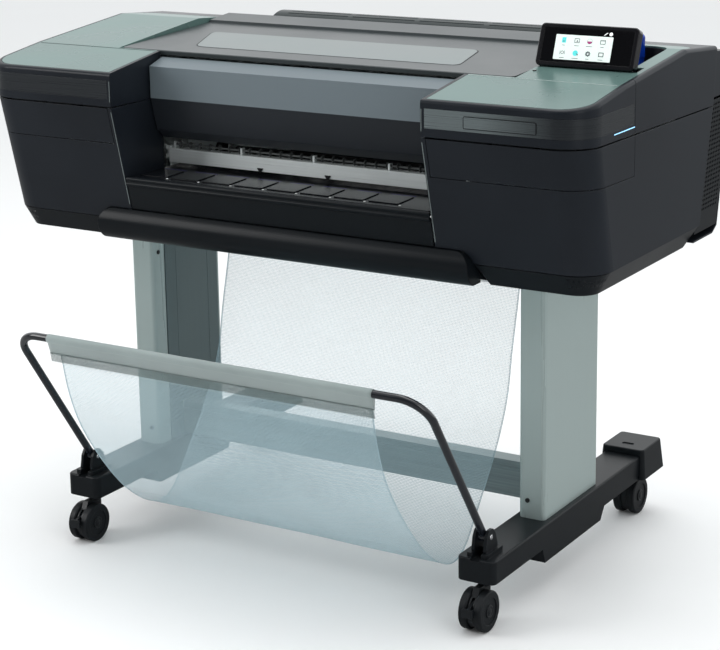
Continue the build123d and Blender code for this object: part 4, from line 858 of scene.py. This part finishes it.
def makeSleeve():  # the loop of cloth round the bar
    barY, barZ = sling["bar"]
    radius = sling["barRadius"] + sleeveLoop["clear"]
    x0, x1 = sling["sleeve"]
    line, normals, _ = slingLine()
    down = (line[1] - line[0]).normalized()
    first = math.atan2(down.y, down.x) - math.radians(sleeveLoop["opening"])
    loop = []
    for step in range(sleeveLoop["steps"] + 1):
        angle = first - math.radians(sleeveLoop["round"]) * step / sleeveLoop["steps"]
        loop.append((barY + radius * math.cos(angle), barZ + radius * math.sin(angle)))
    tail = line[0] + down * sleeveLoop["tail"]
    aside = normals[0] * sleeveLoop["tailHalf"]
    outer = [tuple(tail + aside)] + loop + [tuple(tail - aside)]
    rows, flat = [], []
    for column in range(sleeveLoop["columns"] + 1):
        x = x0 + (x1 - x0) * column / sleeveLoop["columns"]
        row = []
        for i, (y, z) in enumerate(outer):
            ripple = sleeveLoop["ripple"] * noise(Vector((x * 0.03, i * 0.8, 2.2)))
            out = Vector((y - barY, z - barZ)).normalized() * ripple
            row.append(spot(x, y + out.x, z + out.y))
            flat.append((x * mm, (i + 1) * sleeveLoop["run"] * mm))
        rows.append(row)
    sleeve = addMesh("slingSleeve", *tube(rows), "netSleeve", None, smooth=True)
    layFlat(sleeve.data, flat)
    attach(sleeve, "bin_frame")
    return sleeve


def makeStitches():  # two rows of thread along the doubled band, on both its faces
    line, normals, lengths = slingLine()
    x0, x1 = sling["sleeve"]
    faces = [(0, 1, 4), (1, 2, 4), (2, 3, 4), (3, 0, 4), (1, 0, 5), (2, 1, 5), (3, 2, 5), (0, 3, 5)]
    parts = []
    for depth in (stitching["upper"], sling["band"] - stitching["edge"]):
        i = next(k for k, length in enumerate(lengths) if length >= depth)
        share = (depth - lengths[i - 1]) / (lengths[i] - lengths[i - 1])
        p = line[i - 1].lerp(line[i], share)
        for side in (1, -1):
            y, z = p + normals[i] * side * stitching["proud"]
            out = Vector((0, normals[i].x, normals[i].y)) * side * stitching["high"] * mm
            up = Vector((0, -normals[i].y, normals[i].x)) * stitching["half"] * mm
            x = x0 + stitching["inset"]
            while x < x1 - stitching["inset"]:
                a, b = spot(x, y, z), spot(x + stitching["long"], y, z)
                middle = (a + b) / 2
                parts.append(([a, middle + up, b, middle - up, middle + out, middle - out], faces))
                x += stitching["pitch"]
    return addMesh("slingStitches", *joinParts(parts), "thread", "bin_frame")


cloth, clothLength = makeSling()
hems = makeSlingHems()
sleeve = makeSleeve()
stitches = makeStitches()
band = makeBand()
for piece in (cloth, *hems):
    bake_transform(piece)
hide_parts("bin_sling")
print("bin cloth hung,", round(clothLength), "mm long")

# small hardware
casterPlaces = {"front_left": (-453, -340), "front_right": (453, -340), "rear_left": (-453, 340),
                "rear_right": (453, 340)}
hubCap = {"out": 22.5, "height": 39,
          "profile": [(-1.0, 12.5), (0.5, 12.5), (1.0, 11.8), (1.1, 9.6), (0.6, 9.0), (0.6, 6.5), (1.4, 5.6),
                      (1.9, 3.8), (2.1, 1.5)]}


def makeHubCaps():
    for name, (x, y) in casterPlaces.items():
        parts = [lathe(spot(x + side * hubCap["out"], y, hubCap["height"]), (side, 0, 0), hubCap["profile"])
                 for side in (-1, 1)]
        addMesh(name + "HubCaps", *joinParts(parts), "casterBlack", name + "_wheels")


pinHead = {"legX": 453, "out": 15.0, "y": -320, "z": 175,
           "profile": [(-0.3, 5.2), (1.0, 5.2), (1.8, 4.4), (2.1, 2.2)]}
skirtCorner = {"radius": 60, "slope": math.tan(math.radians(28)), "z": (650, 667), "inset": 0.1, "steps": 96}
inkMark = {"near": (366, 457.5, 549), "wide": 86, "z": (852, 884), "inset": 24, "rounding": 3, "proud": 0.5,
           "sunk": 0.2,
           "left": ("inkCyan", "inkBlack", "inkMagenta"), "right": ("inkYellow", "inkBlack", "inkGreyMark")}


def makePinHeads():  # the turned pins the bin swings on
    parts = []
    for hand in (-1, 1):
        for side in (-1, 1):
            head = spot(hand * pinHead["legX"] + side * pinHead["out"], pinHead["y"], pinHead["z"])
            parts.append(lathe(head, (side, 0, 0), pinHead["profile"]))
    addMesh("binPinHeads", *joinParts(parts), "pinChrome", "printer")


def makeSkirtCorners():  # covers the skirts' drawn-in front corners, where their hollow breaks through
    low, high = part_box("skirts")
    radius = skirtCorner["radius"]
    profile = [(z, radius - (high.z / mm - z) * skirtCorner["slope"] - skirtCorner["inset"])
               for z in skirtCorner["z"]]
    parts = []
    for centreX in (low.x / mm + radius, high.x / mm - radius):
        centre = Vector((centreX * mm, low.y + radius * mm, 0))
        parts.append(lathe(centre, (0, 0, 1), profile, skirtCorner["steps"]))
    addMesh("skirtCorners", *joinParts(parts), "lowerShell", "printer", smooth=True)


def makeInkMarks():  # a plain colour field on the front of every cartridge
    for name, colour in (("inkCyan", (0.02, 0.30, 0.55)), ("inkMagenta", (0.48, 0.02, 0.18)),
                         ("inkYellow", (0.75, 0.55, 0.02)), ("inkBlack", (0.01, 0.01, 0.012)),
                         ("inkGreyMark", (0.25, 0.26, 0.27))):
        finishes[name] = mouldedPlastic(name, colour, 0.4, wear=0.1)
    inset, sunk = inkMark["inset"], inkMark["sunk"] * mm
    push = Vector((0, -inkMark["proud"] * mm - sunk, 0))
    for side, hand in (("left", -1), ("right", 1)):
        for count, (near, finish) in enumerate(zip(inkMark["near"], inkMark[side])):
            x0, x1 = sorted((hand * (near + inset), hand * (near + inkMark["wide"] - inset)))
            y = onFront("ink_cartridges", (x0 + x1) / 2, sum(inkMark["z"]) / 2)[0].y
            flat = roundedOutline(x0, x1, *inkMark["z"], inkMark["rounding"])
            addMesh(f"{side}InkMark{count + 1}", *prismOf(standing(flat, y + sunk), push), finish, "printer",
                    bevel=0.2 * mm)


makeHubCaps()
makePinHeads()
makeInkMarks()
makeSkirtCorners()
print("hardware added")

# floor, light and camera
studio = {"floor": (0.95, 0.955, 0.955), "sky": (0.97, 0.99, 1.0), "front": 0.14, "back": 1.2, "upward": 0.75,
          "seen": 1.0, "mirrored": 0.3, "from": -0.35, "to": 0.75, "half": 14.0}
keyLights = {
    "overhead": {"place": (0.2, 0.3, 3.6), "aim": (0, 0, 0.8), "size": (3.2, 2.4), "power": 45},
    "leftSoft": {"place": (-2.8, -2.6, 2.2), "aim": (0, 0, 0.6), "size": (2.0, 2.0), "power": 60},
    "rightSoft": {"place": (3.4, -1.8, 1.8), "aim": (0, 0, 0.6), "size": (1.6, 2.4), "power": 20},
}
viewpoint = {"place": (2.0543, -3.27748, 1.5515), "azimuth": 31.366, "down": 13.849, "roll": -0.873,
             "lens": 100.2, "shift": -0.1, "slide": -0.007}


def makeFloor():
    size = studio["half"]
    corners = [(-size, -size, 0), (size, -size, 0), (size, size, 0), (-size, size, 0)]
    mesh = bpy.data.meshes.new("floor")
    mesh.from_pydata(corners, [], [(0, 1, 2, 3)])
    material, tree, shader = startMaterial("floorPale")
    cloud = cloudAt(tree, objectPlace(tree), 1.5, 3.0)
    tone = blendColour(tree, cloud, rgba(scaled(studio["floor"], 0.99)), rgba(studio["floor"]))
    mirrored = place(tree, "ShaderNodeLightPath").outputs["Is Glossy Ray"]  # reflections see a dimmer floor
    tone = blendColour(tree, mirrored, tone, rgba(scaled(studio["floor"], studio["mirrored"])))
    tree.links.new(tone, shader.inputs["Base Color"])
    shader.inputs["Roughness"].default_value = 0.8
    shader.inputs["Specular IOR Level"].default_value = 0.1
    mesh.materials.append(material)
    floor = bpy.data.objects.new("floor", mesh)
    scene.collection.objects.link(floor)


def makeLights():
    world = bpy.data.worlds.new("studio")
    scene.world = world
    world.use_nodes = True
    tree = world.node_tree
    backdrop = tree.nodes["Background"]
    backdrop.inputs["Color"].default_value = rgba(studio["sky"])
    where = place(tree, "ShaderNodeTexCoord").outputs["Generated"]
    parts = place(tree, "ShaderNodeSeparateXYZ", {0: where}).outputs
    toBack = maths(tree, "ADD", parts["Y"], maths(tree, "MULTIPLY", parts["Z"], studio["upward"]))
    room = spread(tree, toBack, studio["from"], studio["to"], studio["front"], studio["back"])
    seen = place(tree, "ShaderNodeLightPath").outputs["Is Camera Ray"]
    tree.links.new(place(tree, "ShaderNodeMix", {0: seen, 2: room, 3: studio["seen"]}).outputs[0],
                   backdrop.inputs["Strength"])
    for name, light in keyLights.items():
        data = bpy.data.lights.new(name, "AREA")
        data.shape = "RECTANGLE"
        data.size, data.size_y = light["size"]
        data.energy = light["power"]
        lightObject = bpy.data.objects.new(name, data)
        lightObject.location = light["place"]
        ahead = Vector(light["aim"]) - Vector(light["place"])
        lightObject.rotation_euler = ahead.to_track_quat("-Z", "Y").to_euler()
        scene.collection.objects.link(lightObject)


def makeCamera():
    turn, down, roll = (math.radians(viewpoint[key]) for key in ("azimuth", "down", "roll"))
    ahead = Vector((-math.sin(turn), math.cos(turn), 0))
    right = Vector((math.cos(turn), math.sin(turn), 0))
    looking = ahead * math.cos(down) - Vector((0, 0, 1)) * math.sin(down)
    up = Vector((0, 0, 1)) * math.cos(down) + ahead * math.sin(down)
    across = right * math.cos(roll) + up * math.sin(roll)
    top = up * math.cos(roll) - right * math.sin(roll)
    camera = bpy.data.objects.new("camera", bpy.data.cameras.new("camera"))
    turned = Matrix((across, top, -looking)).transposed().to_4x4()
    camera.matrix_world = Matrix.Translation(viewpoint["place"]) @ turned
    camera.data.sensor_fit = "HORIZONTAL"
    camera.data.sensor_width = 36.0
    camera.data.lens = viewpoint["lens"]
    camera.data.shift_x, camera.data.shift_y = viewpoint["slide"], viewpoint["shift"]
    camera.data.clip_start, camera.data.clip_end = 0.1, 100.0
    scene.collection.objects.link(camera)
    scene.camera = camera


makeFloor()
makeLights()
makeCamera()
scene.view_settings.view_transform = "Standard"
print("floor, lights and camera set")
